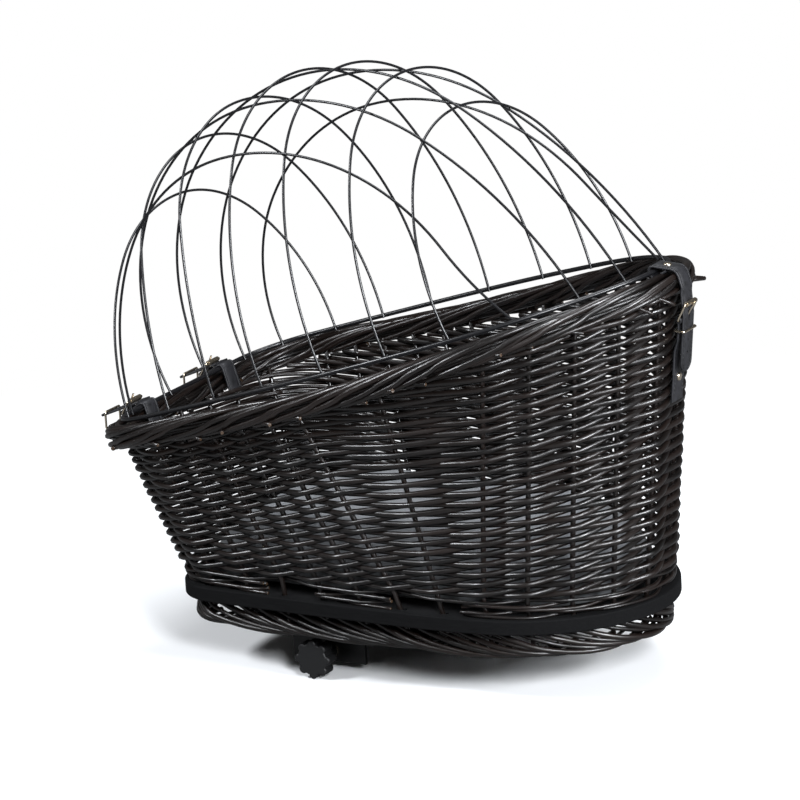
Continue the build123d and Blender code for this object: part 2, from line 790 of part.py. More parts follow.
def rear_anchor_rivet():
    """Rivet through the anchor and the wall."""
    drop, wall = rear_drop_frame()
    inner_top = drop.to_local_coords(Vector(wall_rear_outset - wall_thickness, rim_bottom, 0))
    foot_x = board_widest_x + board_rear_length - wall_board_inset - wall_thickness
    inner_foot = drop.to_local_coords(rear_plane.to_local_coords(Vector(foot_x, 0, board_top_z)))
    share = (rear_rivet_drop - inner_top.X) / (inner_foot.X - inner_top.X)
    inner = inner_top.Y + (inner_foot.Y - inner_top.Y) * share
    shank = wall + seat_gap + strap_thickness - inner + clearance + rivet_burr_height
    burr = Pos(0, 0, -shank) * Cylinder(rivet_burr_radius, rivet_burr_height, align=LOW)
    return drop.location * rivet_axis().location * (rivet(shank) + burr)


def rear_keeper():
    """Wire keeper round anchor and billet."""
    drop, _ = rear_drop_frame()
    reach = strap_thickness / 2 + clearance + buckle_wire_radius
    low = rear_heel().Y - reach
    wide = strap_width + 2 * (buckle_side_gap + buckle_wire_radius)
    seat = Plane(origin=(rear_keeper_drop, low, 0), x_dir=(0, 1, 0), z_dir=(1, 0, 0))
    return drop.location * seat.location * wire_loop(rear_bulge + reach - low, wide, keeper_corner_radius)


def bolt_places():
    """Places of the four bolts on the plate."""
    return [Pos(x * bolt_spacing / 2, y * batten_spacing / 2, 0) for x in (-1, 1) for y in (-1, 1)]


def mounting_plate():
    """Plate with shallow pockets for the brackets, slots for guide screws, countersunk holes."""
    plate = extrude(RectangleRounded(plate_length, plate_width, plate_corner_radius), plate_thickness)
    innermost = bracket_leg_y - bracket_thickness - bracket_travel - clearance
    outwards = (Align.CENTER, Align.MIN, Align.CENTER)
    pocket = Box(bracket_ear_length + 2 * clearance, plate_width, 2 * pocket_depth, align=outwards)
    for side in (0, 180):
        plate -= Rot(0, 0, side) * Pos(0, innermost, 0) * pocket
    slot_width = 2 * (guide_radius + clearance)
    slot = Rot(0, 0, 90) * SlotOverall(bracket_travel + slot_width, slot_width)
    slot = extrude(slot, 2 * plate_thickness, both=True)
    for x in (-1, 1):
        for y in (-1, 1):
            plate -= Pos(x * guide_spacing / 2, y * (guide_y - bracket_travel / 2), 0) * slot
    for place in bolt_places():
        plate -= place * Cone(bolt_head_radius, bolt_radius, plate_thickness, align=LOW)
    return plate


def battens():
    """Two battens along the plate."""
    bars = []
    for side in (-1, 1):
        bar = Box(batten_length, batten_width, batten_height, align=LOW)
        bar = Pos(0, side * batten_spacing / 2, plate_thickness) * bar
        for place in bolt_places():
            bar -= place * Cylinder(bolt_radius + running_gap, 4 * batten_height)
        bars.append(bar)
    return Compound(children=bars)


def batten_bolts():
    """Countersunk bolts up through plate, battens and board."""
    top = board_top_z - nut_recess_depth + bolt_washer_thickness + bolt_nut_height
    length = top - plate_thickness
    head = Cone(bolt_head_radius, bolt_radius, plate_thickness, align=LOW)
    bolt = head + Pos(0, 0, plate_thickness) * Cylinder(bolt_radius, length, align=LOW)
    return Compound(children=[place * bolt for place in bolt_places()])


def hexagon(width, height):
    """Hexagonal prism of a width across its flats, standing on z = 0."""
    return extrude(RegularPolygon(width / 2, 6, major_radius=False), height)


def batten_nuts():
    """Washers and nuts in the board's recesses."""
    bore = Cylinder(bolt_radius + running_gap, 4 * bolt_nut_height)
    washer = Cylinder(bolt_washer_radius, bolt_washer_thickness, align=LOW) - bore
    nut = Pos(0, 0, bolt_washer_thickness) * (hexagon(bolt_nut_width, bolt_nut_height) - bore)
    floor = Pos(0, 0, board_top_z - nut_recess_depth)
    pieces = [place * floor * piece for place in bolt_places() for piece in (washer, nut)]
    return Compound(children=pieces)


def clamp_bracket():
    """Left bracket: flange and ears under the plate, and a leg with the rod's hole."""
    inner = bracket_leg_y - bracket_thickness
    corner = (Align.CENTER, Align.MAX, Align.MAX)
    flange = Box(bracket_ear_length, bracket_flange_width, bracket_thickness, align=corner)
    leg = Box(bracket_leg_length, bracket_thickness, bracket_depth, align=corner)
    bracket = Pos(0, -inner, pocket_depth - seat_gap) * (flange + leg)
    hole = Cylinder(guide_radius + running_gap, 4 * bracket_thickness)
    for x in (-1, 1):
        bracket -= Pos(x * guide_spacing / 2, -guide_y, 0) * hole
    bore = across_rod(rod_radius + running_gap, 4 * bracket_thickness)
    return bracket - Pos(0, -inner, -rod_drop) * bore


def guide_screws():
    """Left pair of guide screws, heads under the ears, shanks up through the slots."""
    top = plate_thickness + seat_gap + guide_nut_height
    under = pocket_depth - seat_gap - bracket_thickness
    head = Pos(0, 0, under) * Cylinder(guide_head_radius, guide_head_height, align=HIGH)
    shank = Pos(0, 0, under) * Cylinder(guide_radius, top - under, align=LOW)
    screw = head + shank
    return Compound(children=[Pos(x * guide_spacing / 2, -guide_y, 0) * screw for x in (-1, 1)])


def guide_nuts():
    """Left pair of lock nuts that run on the plate."""
    bore = Cylinder(guide_radius + running_gap, 4 * guide_nut_height)
    nut = hexagon(guide_nut_width, guide_nut_height) - bore
    level = plate_thickness + seat_gap
    return Compound(children=[Pos(x * guide_spacing / 2, -guide_y, level) * nut for x in (-1, 1)])


def clamp_washer():
    """Left chrome washer between bracket and knob."""
    bore = across_rod(rod_radius + running_gap, 4 * washer_thickness)
    ring = across_rod(washer_radius, washer_thickness) - bore
    return Pos(0, -(bracket_leg_y + washer_thickness / 2), -rod_drop) * ring


def cross_rod():
    """Threaded rod from knob to knob."""
    reach = bracket_leg_y + washer_thickness + rod_engagement
    return Pos(0, 0, -rod_drop) * across_rod(rod_radius, 2 * reach)


def star_knob():
    """Left knob: a tapered hub and a lobed head, with a blind bore for the rod."""
    outline = Circle(knob_head_radius)
    lobe = Pos(knob_lobe_pitch_radius, 0) * Circle(knob_lobe_radius)
    for index in range(knob_lobe_count):
        outline += Rot(0, 0, index * 360 / knob_lobe_count) * lobe
    head = Pos(0, 0, knob_hub_length) * extrude(outline, knob_head_length)
    head = fillet(head.edges().group_by(Axis.Z)[-1], knob_edge_radius)
    hub = Cone(knob_hub_radius * knob_neck_share, knob_hub_radius, knob_hub_length, align=LOW)
    depth = knob_hub_length + knob_head_length - knob_skin
    knob = hub + head - Cylinder(rod_radius + running_gap, 2 * depth)
    face = bracket_leg_y + washer_thickness + seat_gap
    return Pos(0, -face, -rod_drop) * Rot(90, 0, 0) * knob


def save(name, shape):
    """Write one sub-part."""
    export_step(shape, f"{OUT}/{name}.step")


def mirrored(shape):
    """The same piece on the right-hand side."""
    return mirror(shape, about=Plane.XZ)


os.makedirs(OUT, exist_ok=True)

save("base_board", base_board())
save("foot_border", foot_border())
save("stakes", Compound(children=stake_rods()))
shell = wall_shell()
save("waling_band", waling_band(shell))
save("wall_weave", wall_weave(shell))
save("rim_border", rim_border())
save("cushion", cushion())

save("dome_ring", dome_ring())
for index in range(len(cross_rises)):
    save(f"arch_cross_{index + 1}", cross_arch(index))
for index in range(len(long_rises)):
    save(f"arch_long_{index + 1}", long_arch(index))

for side, name in ((-1, "left"), (1, "right")):
    plane = front_plane(side)
    place = plane.location * front_band_frame().location
    frame, roller, prong = buckle(place, front_heel(), front_roller())
    save(f"front_strap_{name}", plane * front_strap())
    save(f"front_buckle_{name}", frame)
    save(f"front_roller_{name}", roller)
    save(f"front_prong_{name}", prong)
    save(f"front_keeper_{name}", plane * front_keeper())

place = rear_plane.location * rear_drop_frame()[0].location
frame, roller, prong = buckle(place, rear_heel(), rear_roller())
save("rear_billet", rear_plane * rear_billet())
save("rear_billet_rivet", rear_plane * rear_billet_rivet())
save("rear_buckle", frame)
save("rear_roller", roller)
save("rear_prong", prong)
save("rear_keeper", rear_plane * rear_keeper())
save("rear_anchor", rear_plane * rear_anchor())
save("rear_anchor_rivet", rear_plane * rear_anchor_rivet())

save("mounting_plate", mounting_plate())
save("battens", battens())
save("batten_bolts", batten_bolts())
save("batten_nuts", batten_nuts())
save("cross_rod", cross_rod())
for name, make in (
    ("clamp_bracket", clamp_bracket),
    ("guide_screws", guide_screws),
    ("guide_nuts", guide_nuts),
    ("clamp_washer", clamp_washer),
    ("star_knob", star_knob),
):
    piece = make()
    save(f"{name}_left", piece)
    save(f"{name}_right", mirrored(piece))
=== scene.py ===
import random
from math import acos, asin, atan2, cos, pi, radians, sin, sqrt, tan

import bpy
from mathutils import Matrix, Vector


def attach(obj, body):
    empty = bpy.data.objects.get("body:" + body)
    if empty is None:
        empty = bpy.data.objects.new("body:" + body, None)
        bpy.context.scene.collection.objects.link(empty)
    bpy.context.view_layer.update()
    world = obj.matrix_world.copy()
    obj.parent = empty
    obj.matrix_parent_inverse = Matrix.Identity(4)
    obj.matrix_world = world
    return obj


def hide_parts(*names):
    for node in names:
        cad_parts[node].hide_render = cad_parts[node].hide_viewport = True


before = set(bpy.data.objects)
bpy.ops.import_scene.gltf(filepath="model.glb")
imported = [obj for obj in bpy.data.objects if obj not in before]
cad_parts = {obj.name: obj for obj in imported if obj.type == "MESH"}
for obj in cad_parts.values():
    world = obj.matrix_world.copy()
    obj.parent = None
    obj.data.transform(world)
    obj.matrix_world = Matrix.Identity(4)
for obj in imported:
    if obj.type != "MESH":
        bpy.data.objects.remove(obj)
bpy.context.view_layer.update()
mm = 0.001


# Board that the basket is woven on, with the two battens that carry it on the plate.
# Birch plywood sawn to an egg shape, edges rounded over, brushed with matt black paint.
# The paint dries dull and slightly raised along the grain.

def linear(code):
    """An sRGB hex colour as linear RGBA."""
    parts = [int(code[at:at + 2], 16) / 255 for at in (0, 2, 4)]
    return (*[c / 12.92 if c <= 0.04045 else ((c + 0.055) / 1.055) ** 2.4 for c in parts], 1)


def new_material(name):
    """An empty node material with its output."""
    made = bpy.data.materials.new(name)
    made.use_nodes = True
    made.node_tree.nodes.clear()
    made.node_tree.nodes.new("ShaderNodeOutputMaterial")
    return made


def add(material, kind, settings=(), links=()):
    """Adds a node; settings name attributes or sockets, links are (socket, node, output)."""
    made = material.node_tree.nodes.new(kind)
    for name, value in settings:
        if isinstance(name, str) and name[0].islower():
            setattr(made, name, value)
        else:
            made.inputs[name].default_value = value
    for socket, source, output in links:
        material.node_tree.links.new(source.outputs[output], made.inputs[socket])
    return made


def close(material, shader):
    """Joins the shader to the material's output."""
    output = material.node_tree.nodes["Material Output"]
    material.node_tree.links.new(shader.outputs[0], output.inputs["Surface"])


def dress(material, *names):
    """Gives CAD nodes their finish."""
    for name in names:
        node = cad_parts[name]
        if not node.material_slots:
            node.data.materials.append(material)
        for place in node.material_slots:
            place.material = material


board_paint = new_material("black brushed paint on birch plywood")
place = add(board_paint, "ShaderNodeTexCoord")
# Brush and grain lines about 1.5 mm apart and 17 mm long that run along the board
grain_size = (1 / (16.7 * mm), 1 / (1.54 * mm), 1 / (1.54 * mm))
lines = add(board_paint, "ShaderNodeMapping", [("Scale", grain_size)], [("Vector", place, "Object")])
grain = add(board_paint, "ShaderNodeTexNoise", [("Scale", 1), ("Detail", 4)], [("Vector", lines, 0)])
# Dull and less dull specks about 1.1 mm wide
specks = add(board_paint, "ShaderNodeTexNoise", [("Scale", 1 / (1.11 * mm)), ("Detail", 2)],
             [("Vector", place, "Object")])
paint = add(board_paint, "ShaderNodeValToRGB", [], [("Fac", grain, "Fac")])
paint.color_ramp.elements[0].position = 0.3
paint.color_ramp.elements[0].color = linear("040405")
paint.color_ramp.elements[1].position = 0.75
paint.color_ramp.elements[1].color = linear("0a0a0b")
dull = add(board_paint, "ShaderNodeMapRange", [("To Min", 0.75), ("To Max", 0.95)],
           [("Value", specks, "Fac")])
relief = add(board_paint, "ShaderNodeBump", [("Strength", 0.35), ("Distance", 0.4 * mm)],
             [("Height", grain, "Fac")])
close(board_paint, add(board_paint, "ShaderNodeBsdfPrincipled", [
    ("IOR", 1.5), ("Specular IOR Level", 0.15)], [
    ("Base Color", paint, 0), ("Roughness", dull, 0), ("Normal", relief, 0)]))
dress(board_paint, "base_board", "battens")


# Stakes: thirty stout willow rods pushed through holes drilled round the board.
# Willow is dyed in the vat and lacquered, so it is brown-black with a soft gloss along each rod;
# the bark side shows fine lengthwise ribs and the sawn ends stay pale.

stake_count = 30
stake_foot = 17
stake_inset = 15
stake_start_radius = 2.2
stake_radius = 2.5
stake_taper = 0.5
# Board and ring in mm: front length, rear length, half width, then the radii of the front's
# side, the front's corner, the rear's side, the shoulder and the rear tip
board_sizes = (245, 186, 126, 4000, 45, 600, 135, 105)
ring_sizes = (215.5, 280.6, 152, 1800, 55, 540, 200, 80)
board_centre = 110
board_top = 43
waling_top = 57.8
ring_centre = (30.8, 248.2)
slope = radians(16.36)
sag_start = -190
sag_length = 430
sag_depth = 7
wall_foot_inset = 9.5
wall_head_outset = 1.5
wall_head_front = -3
wall_head_rear = 6
wall_head_drop = 24


def outline(sizes, outset=0, front_extra=0, rear_extra=0):
    """Half of the egg outline: the front length, half the front edge, its arcs and all lengths."""
    front, rear, wide, side_front, corner, side_rear, shoulder, nose = [size + outset for size in sizes]
    front += front_extra
    rear += rear_extra
    turn = asin((front - corner) / (side_front - corner))
    outer = side_rear - shoulder
    inner = shoulder - nose
    across = side_rear - wide
    along = rear - nose
    bend = acos((across**2 + along**2 - outer**2 - inner**2) / (2 * outer * inner))
    rear_turn = atan2(along, across) - atan2(inner * sin(bend), outer + inner * cos(bend))
    half = wide - side_front * (1 - cos(turn)) - corner * cos(turn)
    arcs = (
        (corner - front, half, corner, pi, pi / 2 + turn),
        (0, wide - side_front, side_front, pi / 2 + turn, pi / 2),
        (0, wide - side_rear, side_rear, pi / 2, pi / 2 - rear_turn),
        (outer * sin(rear_turn), wide - side_rear + outer * cos(rear_turn), shoulder,
         pi / 2 - rear_turn, pi / 2 - rear_turn - bend),
        (rear - nose, 0, nose, pi / 2 - rear_turn - bend, 0),
    )
    return front, half, arcs, [half] + [arc[2] * (arc[3] - arc[4]) for arc in arcs]


def spot(line, turn):
    """Edge, share of it and side at a share of the whole outline, left side first."""
    turn %= 1
    side = -1 if turn < 0.5 else 1
    run = 2 * min(turn, 1 - turn) * sum(line[3])
    for edge, length in enumerate(line[3]):
        if run <= length or edge == len(line[3]) - 1:
            return edge, run / length, side
        run -= length


def at_spot(line, where, outset=0):
    """Point of an outline at a spot, moved outwards."""
    edge, share, side = where
    front, half, arcs, _ = line
    if edge == 0:
        return -front - outset, side * half * share
    x, y, radius, first, last = arcs[edge - 1]
    angle = first + (last - first) * share
    return x + (radius + outset) * cos(angle), side * (y + (radius + outset) * sin(angle))


def on_ring(x, y, z):
    """A point of the ring's sloping plane in the part's frame, in mm."""
    ahead = x * cos(slope) - z * sin(slope)
    rise = x * sin(slope) + z * cos(slope)
    return Vector((ring_centre[0] + ahead, y, ring_centre[1] + rise))


def rim_sag(x):
    """How far the woven edge hangs below the flat dome ring along the sides."""
    share = min(max((x - sag_start) / sag_length, 0), 1)
    return sag_depth * sin(pi * share) ** 2


wall_low = outline(board_sizes, -wall_foot_inset)
wall_high = outline(ring_sizes, wall_head_outset, wall_head_front, wall_head_rear)


def wall_ends(turn):
    """Foot and head of the wall's middle surface at a share of the way round."""
    where = spot(wall_low, turn)
    x, y = at_spot(wall_low, where)
    high_x, high_y = at_spot(wall_high, where)
    high = on_ring(high_x, high_y, -wall_head_drop - rim_sag(high_x))
    return Vector((x + board_centre, y, board_top)), high


def wall_point(turn, height, out=0):
    """Point at a height on the wall, a distance out of its middle surface."""
    low, high = wall_ends(turn)
    share = (height - low.z) / (high.z - low.z)
    near = 0.002
    before, after = [a.lerp(b, share) for a, b in (wall_ends(turn - near), wall_ends(turn + near))]
    outwards = (after - before).cross(high - low).normalized()
    return low.lerp(high, share) + outwards * out


def new_bundle():
    """Rods that become one mesh."""
    return {"points": [], "faces": [], "grain": [], "tone": []}


end_length = 0.25
end_width = 0.8
sawn_tone = 2
grain_shift = 997


def lay(bundle, path, radii, tone, sides=8, cut=False):
    """Adds a round rod along a path in mm, with its own tone; cut ends show the pale wood."""
    start = len(bundle["points"])
    count = len(path)
    along = (path[1] - path[0]).normalized()
    across = along.orthogonal().normalized()
    run = tone * grain_shift
    rings = []
    for index in range(count):
        heading = (path[min(index + 1, count - 1)] - path[max(index - 1, 0)]).normalized()
        across = (across - heading * across.dot(heading)).normalized()
        over = heading.cross(across)
        if index:
            run += (path[index] - path[index - 1]).length
        rings.append((path[index], across.copy(), over, radii[index], run, tone))
    first, last = rings[0], rings[-1]
    step = (path[1] - path[0]).normalized() * radii[0] * end_length
    end_step = (path[-1] - path[-2]).normalized() * radii[-1] * end_length
    end_tone = sawn_tone if cut else tone
    rings.insert(0, (first[0] - step, first[1], first[2], first[3] * end_width, first[4], end_tone))
    rings.append((last[0] + end_step, last[1], last[2], last[3] * end_width, last[4], end_tone))
    for middle, across, over, radius, run, shade in rings:
        for side in range(sides):
            angle = 2 * pi * side / sides
            bundle["points"].append((middle + (across * cos(angle) + over * sin(angle)) * radius) * mm)
            bundle["grain"].append((run * mm, radius * angle * mm, 0))
            bundle["tone"].append(shade)
    for ring in range(len(rings) - 1):
        low = start + ring * sides
        for side in range(sides):
            after = (side + 1) % sides
            bundle["faces"].append((low + side, low + after, low + sides + after, low + sides + side))
    bundle["faces"].append(tuple(start + side for side in reversed(range(sides))))
    top = start + (len(rings) - 1) * sides
    bundle["faces"].append(tuple(top + side for side in range(sides)))


def weave(name, bundle, material, slot, body, *nodes):
    """Makes the object of a bundle of rods and sets it on its body in place of CAD nodes."""
    mesh = bpy.data.meshes.new(name)
    mesh.from_pydata(bundle["points"], [], bundle["faces"])
    mesh.polygons.foreach_set("use_smooth", [len(face) == 4 for face in bundle["faces"]])
    grain = mesh.attributes.new("grain", "FLOAT_VECTOR", "POINT")
    grain.data.foreach_set("vector", [value for point in bundle["grain"] for value in point])
    tone = mesh.attributes.new("tone", "FLOAT", "POINT")
    tone.data.foreach_set("value", bundle["tone"])
    mesh.materials.append(material)
    made = bpy.data.objects.new(name, mesh)
    bpy.context.scene.collection.objects.link(made)
    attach(made, body)
    if nodes:
        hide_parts(*nodes)


def willow_finish(name, dark, brown, gloss):
    """Dyed and lacquered willow; each rod has its own depth of colour."""
    made = new_material(name)
    tone = add(made, "ShaderNodeAttribute", [("attribute_name", "tone")])
    grain = add(made, "ShaderNodeAttribute", [("attribute_name", "grain")])
    # Bark ribs about 0.7 mm apart round the rod and 12.5 mm long
    rib_size = (1 / (12.5 * mm), 1 / (0.714 * mm), 1)
    ribs = add(made, "ShaderNodeMapping", [("Scale", rib_size)], [("Vector", grain, "Vector")])
    bark = add(made, "ShaderNodeTexNoise", [("Scale", 1), ("Detail", 3)], [("Vector", ribs, 0)])
    # Blotches of dye about 25 mm long and 8 mm wide
    blotch_size = (1 / (25 * mm), 1 / (8.33 * mm), 1)
    spread = add(made, "ShaderNodeMapping", [("Scale", blotch_size)], [("Vector", grain, "Vector")])
    blotch = add(made, "ShaderNodeTexNoise", [("Scale", 1), ("Detail", 2)], [("Vector", spread, 0)])
    both = add(made, "ShaderNodeMath", [("operation", "MULTIPLY")], [(0, bark, "Fac"), (1, blotch, "Fac")])
    depth = add(made, "ShaderNodeMath", [("operation", "MULTIPLY_ADD"), (1, 1.4)],
                [(0, both, 0), (2, tone, "Fac")])
    ramp = add(made, "ShaderNodeValToRGB", [], [("Fac", depth, 0)])
    ramp.color_ramp.elements[0].position = 0.25
    ramp.color_ramp.elements[0].color = linear(dark)
    ramp.color_ramp.elements[1].position = 0.958
    ramp.color_ramp.elements[1].color = linear(brown)
    # Only the sawn ends carry a tone above one, and there the pale wood shows
    sawn = add(made, "ShaderNodeMath", [("operation", "GREATER_THAN"), (1, 0.8 * sawn_tone)],
               [(0, tone, "Fac")])
    colour = add(made, "ShaderNodeMix", [("data_type", "RGBA"), (7, linear("3c2d20"))],
                 [(0, sawn, 0), (6, ramp, 0)])
    shine = add(made, "ShaderNodeMapRange", [("To Min", gloss - 0.1), ("To Max", gloss + 0.16)],
                [("Value", blotch, "Fac")])
    relief = add(made, "ShaderNodeBump", [("Strength", 0.5), ("Distance", 0.4 * mm)],
                 [("Height", bark, "Fac")])
    lacquer = [("IOR", 1.5), ("Coat Weight", 0.15), ("Coat Roughness", 0.12)]
    close(made, add(made, "ShaderNodeBsdfPrincipled", lacquer, [
        ("Base Color", colour, 2), ("Roughness", shine, 0), ("Normal", relief, 0)]))
    return made


willow = willow_finish("vat-dyed lacquered willow", "030303", "150e0b", 0.3)
random.seed(5)
stakes = new_bundle()
board_line = outline(board_sizes)
stake_steps = 12
stake_head_rise = 6
for index in range(stake_count):
    turn = (index + 0.5) / stake_count
    foot_x, foot_y = at_spot(board_line, spot(board_line, turn), -stake_inset)
    low_end = Vector((foot_x + board_centre, foot_y, stake_foot))
    at_waling = wall_point(turn, waling_top)
    path = [low_end, low_end.lerp(at_waling, 0.5), at_waling]
    radii = [stake_start_radius] * 3
    rise = wall_ends(turn)[1].z - waling_top + stake_head_rise
    for step in range(1, stake_steps + 1):
        path.append(wall_point(turn, waling_top + rise * step / stake_steps))
        radii.append(stake_radius - stake_taper * step / stake_steps)
    lay(stakes, path, radii, random.uniform(0.1, 0.6))
weave("stake_rods", stakes, willow, "stained_willow", "root", "stakes")


# Foot border: below the board each stake is bent sideways and plaited behind the next ones.
# The same dyed willow, laid down while wet, so the rods sweep along in long low curves.
# Each one leaves its hole, runs outside three neighbours and tucks in behind the fourth.

# Knots of one rod's way: stakes passed, distance in from the board's edge and height in mm
foot_route = ((0.0, 15, 29.0), (0.5, 12.5, 23), (1.1, 10, 16.5), (1.8, 9.5, 11.5), (2.5, 11, 9),
              (3.1, 14, 9), (3.6, 17.5, 12), (4.1, 19.5, 17))
foot_steps = 44
foot_radii = (2.7, 2.1)
foot_spread = 1.2
foot_taper = 0.25


def smooth_route(route, share):
    """Point of a route of (run, inset, level) knots at a share of its run."""
    run = route[0][0] + (route[-1][0] - route[0][0]) * share
    for index in range(len(route) - 1):
        if run <= route[index + 1][0] or index == len(route) - 2:
            knots = [route[min(max(index + offset, 0), len(route) - 1)] for offset in (-1, 0, 1, 2)]
            t = (run - knots[1][0]) / (knots[2][0] - knots[1][0])
            values = []
            for axis in (1, 2):
                a, b, c, d = [knot[axis] for knot in knots]
                bend = 2 * a - 5 * b + 4 * c - d + t * (3 * (b - c) + d - a)
                values.append(b + 0.5 * t * (c - a + t * bend))
            return run, values[0], values[1]


foot = new_bundle()
for index in range(2 * stake_count):
    thick = foot_radii[index % 2]
    shift = random.uniform(-foot_spread, foot_spread)
    path = []
    for step in range(foot_steps + 1):
        run, inset, level = smooth_route(foot_route, step / foot_steps)
        turn = (index / 2 + 0.5 + run * random.uniform(0.999, 1.001)) / stake_count
        x, y = at_spot(board_line, spot(board_line, turn), -inset - shift * min(run, 1))
        path.append(Vector((x + board_centre, y, level + shift * min(run, 1))))
    radii = [thick * (1 - foot_taper * step / foot_steps) for step in range(foot_steps + 1)]
    lay(foot, path, radii, random.uniform(0.05, 0.6))
weave("foot_plait", foot, willow, "stained_willow", "root", "foot_border")


# Waling: five rounds of thinner rods on the board, each outside two stakes and inside one.
# It locks the stakes before the wall is woven. Two notches in each side are left open for
# lashing; there the rods stop with sawn ends and only the top round runs through.

notches = ((-31, 16), (94, 157))
notch_side = 80
waling_rows = 5
waling_pitch = 3.15
waling_radius = 1.6
waling_depth = 3.9
waling_steps = 8
waling_start = 1.8
waling_wave = 0.5
waling_wander = 0.1
waling_pattern = (-1, 1, 1)
waling_tones = (0.1, 0.7)


def woven(position, pattern):
    """Share of the way out at a place round the basket, from a pattern of stakes passed."""
    index = int(position // 1)
    share = (1 - cos(pi * (position - index))) / 2
    first = pattern[index % len(pattern)]
    return first + (pattern[(index + 1) % len(pattern)] - first) * share


def in_notch(point):
    """Whether a point lies in one of the lashing notches."""
    return abs(point.y) > notch_side and any(low < point.x < high for low, high in notches)


waling = new_bundle()
for row in range(waling_rows):
    tone = random.uniform(*waling_tones)
    path = []
    for step in range(stake_count * waling_steps + 1):
        position = step / waling_steps
        out = waling_depth * woven(position + row, waling_pattern)
        level = board_top + waling_start + waling_pitch * row
        level += waling_wave * sin(2 * pi * (position + row) / len(waling_pattern))
        level += random.uniform(-waling_wander, waling_wander)
        point = wall_point((position + 0.5) / stake_count, level, out)
        if row < waling_rows - 1 and in_notch(point):
            if len(path) > 2:
                lay(waling, path, [waling_radius] * len(path), tone, cut=True)
            path = []
            tone = random.uniform(*waling_tones)
        else:
            path.append(point)
    lay(waling, path, [waling_radius] * len(path), tone)
weave("waling_rods", waling, willow, "stained_willow", "root", "waling_band")


# Woven wall: one rod starts at every stake, and each in turn is laid outside one stake and
# inside the next, so all strokes climb one rod's height per stake and stand in columns.
# Rods are sorted by hand, so thickness, colour and tightness vary and small gaps stay open.

rod_pitch = 4.35
wall_base = 60.5
most_rows = 75
wall_steps = 10
weave_depth = 4.7
stake_hug = 0.95
rod_share = 0.585
edge_room = 3
fewest_stakes = 7
row_share = 0.97
row_gain = 0.0006
row_gain_start = 40
first_rod_shares = (0.9, 1.06)
joined_rod_shares = (0.86, 1.08)
rod_wander = 0.5
rod_loosest = 0.4


def row_height(turn, rows):
    """Height of a number of rows; they lie closer at the low front than at the high rear."""
    low, high = wall_ends(turn)
    middle = (low.x + high.x) / 2
    return wall_base + rows * rod_pitch * (row_share + row_gain * (middle - row_gain_start))


def random_tone():
    """How brown a wall rod is."""
    return random.uniform(0.05, 0.75)


wall = new_bundle()
for start in range(stake_count):
    thick = random.uniform(*first_rod_shares)
    tone = random_tone()
    path = []
    radii = []
    lift = out_shift = 0
    for step in range(most_rows * wall_steps):
        rows = step / wall_steps
        if step % wall_steps == 0:
            last_lift, lift = lift, random.uniform(-rod_wander, rod_wander)
            last_out, out_shift = out_shift, random.uniform(-rod_wander, rod_loosest)
        share = (1 - cos(pi * (step % wall_steps) / wall_steps)) / 2
        turn = (start + rows + 0.5) / stake_count
        height = row_height(turn, rows) + last_lift + (lift - last_lift) * share
        # A rod ends where it reaches the edge, and a new one goes on where the edge is higher
        if height > wall_ends(turn)[1].z + edge_room:
            if len(path) > 2:
                lay(wall, path, radii, tone)
            path = []
            radii = []
            tone = random_tone()
            continue
        # The rod bends sharply round each stake and runs straight between them
        amount = weave_depth + last_out + (out_shift - last_out) * share
        out = -amount * asin(stake_hug * cos(pi * rows)) / asin(stake_hug)
        path.append(wall_point(turn, height, out))
        radii.append(rod_share * (row_height(turn, 1) - wall_base) * thick)
        # A new rod is joined on behind a stake after seven stakes or more
        if len(path) > wall_steps * fewest_stakes and (step + 1) % (2 * wall_steps) == 0:
            lay(wall, path, radii, tone)
            path = path[-1:]
            radii = radii[-1:]
            thick = random.uniform(*joined_rod_shares)
            tone = random_tone()
    if len(path) > 2:
        lay(wall, path, radii, tone)
weave("wall_rods", wall, willow, "stained_willow", "root", "wall_weave")


# Rim: at the top the stakes are turned down in pairs into a thick rolled border.
# Each rod rises inside, crosses the top and runs down outside over five stakes, so long
# glossy diagonals lie side by side like a rope, and a few sawn ends stick out.

rim = new_bundle()
ring_line = outline(ring_sizes)
rim_strands = 46
rim_steps = 40
rim_middle_out = 9.35
rim_middle_level = -13.3
rim_half_width = 8.2
rim_half_height = 8.3
rim_squareness = 0.7
rim_radii = (2.4, 3.3)
rim_tones = (0.1, 0.9)
rim_start = -75
rim_start_spread = 12
rim_sweep = 300
rim_stakes = (5.2, 7.0)
rim_wander = (0.02, 0.07)
rim_taper = 0.3
thickest_share = 0.45
core_rods = 6
core_radius = 2.6
core_steps = 240
core_reach = 0.35
stub_count = 34
stub_extra = 6
stub_lengths = (3, 6)
stub_radii = (1.5, 2.1)
stub_angles = (-65, -25)
stub_leans = (0.004, 0.012)
front_end_share = 0.04
rear_end_share = 0.06


def rim_point(turn, angle, reach):
    """Point of the border's section: the angle is 0 outside, 90 on top and 180 inside."""
    c, s = cos(angle), sin(angle)
    out = rim_middle_out + reach * rim_half_width * abs(c) ** rim_squareness * (1 if c > 0 else -1)
    level = rim_middle_level + reach * rim_half_height * abs(s) ** rim_squareness * (1 if s > 0 else -1)
    x, y = at_spot(ring_line, spot(ring_line, turn), out)
    return on_ring(x, y, level - rim_sag(x))


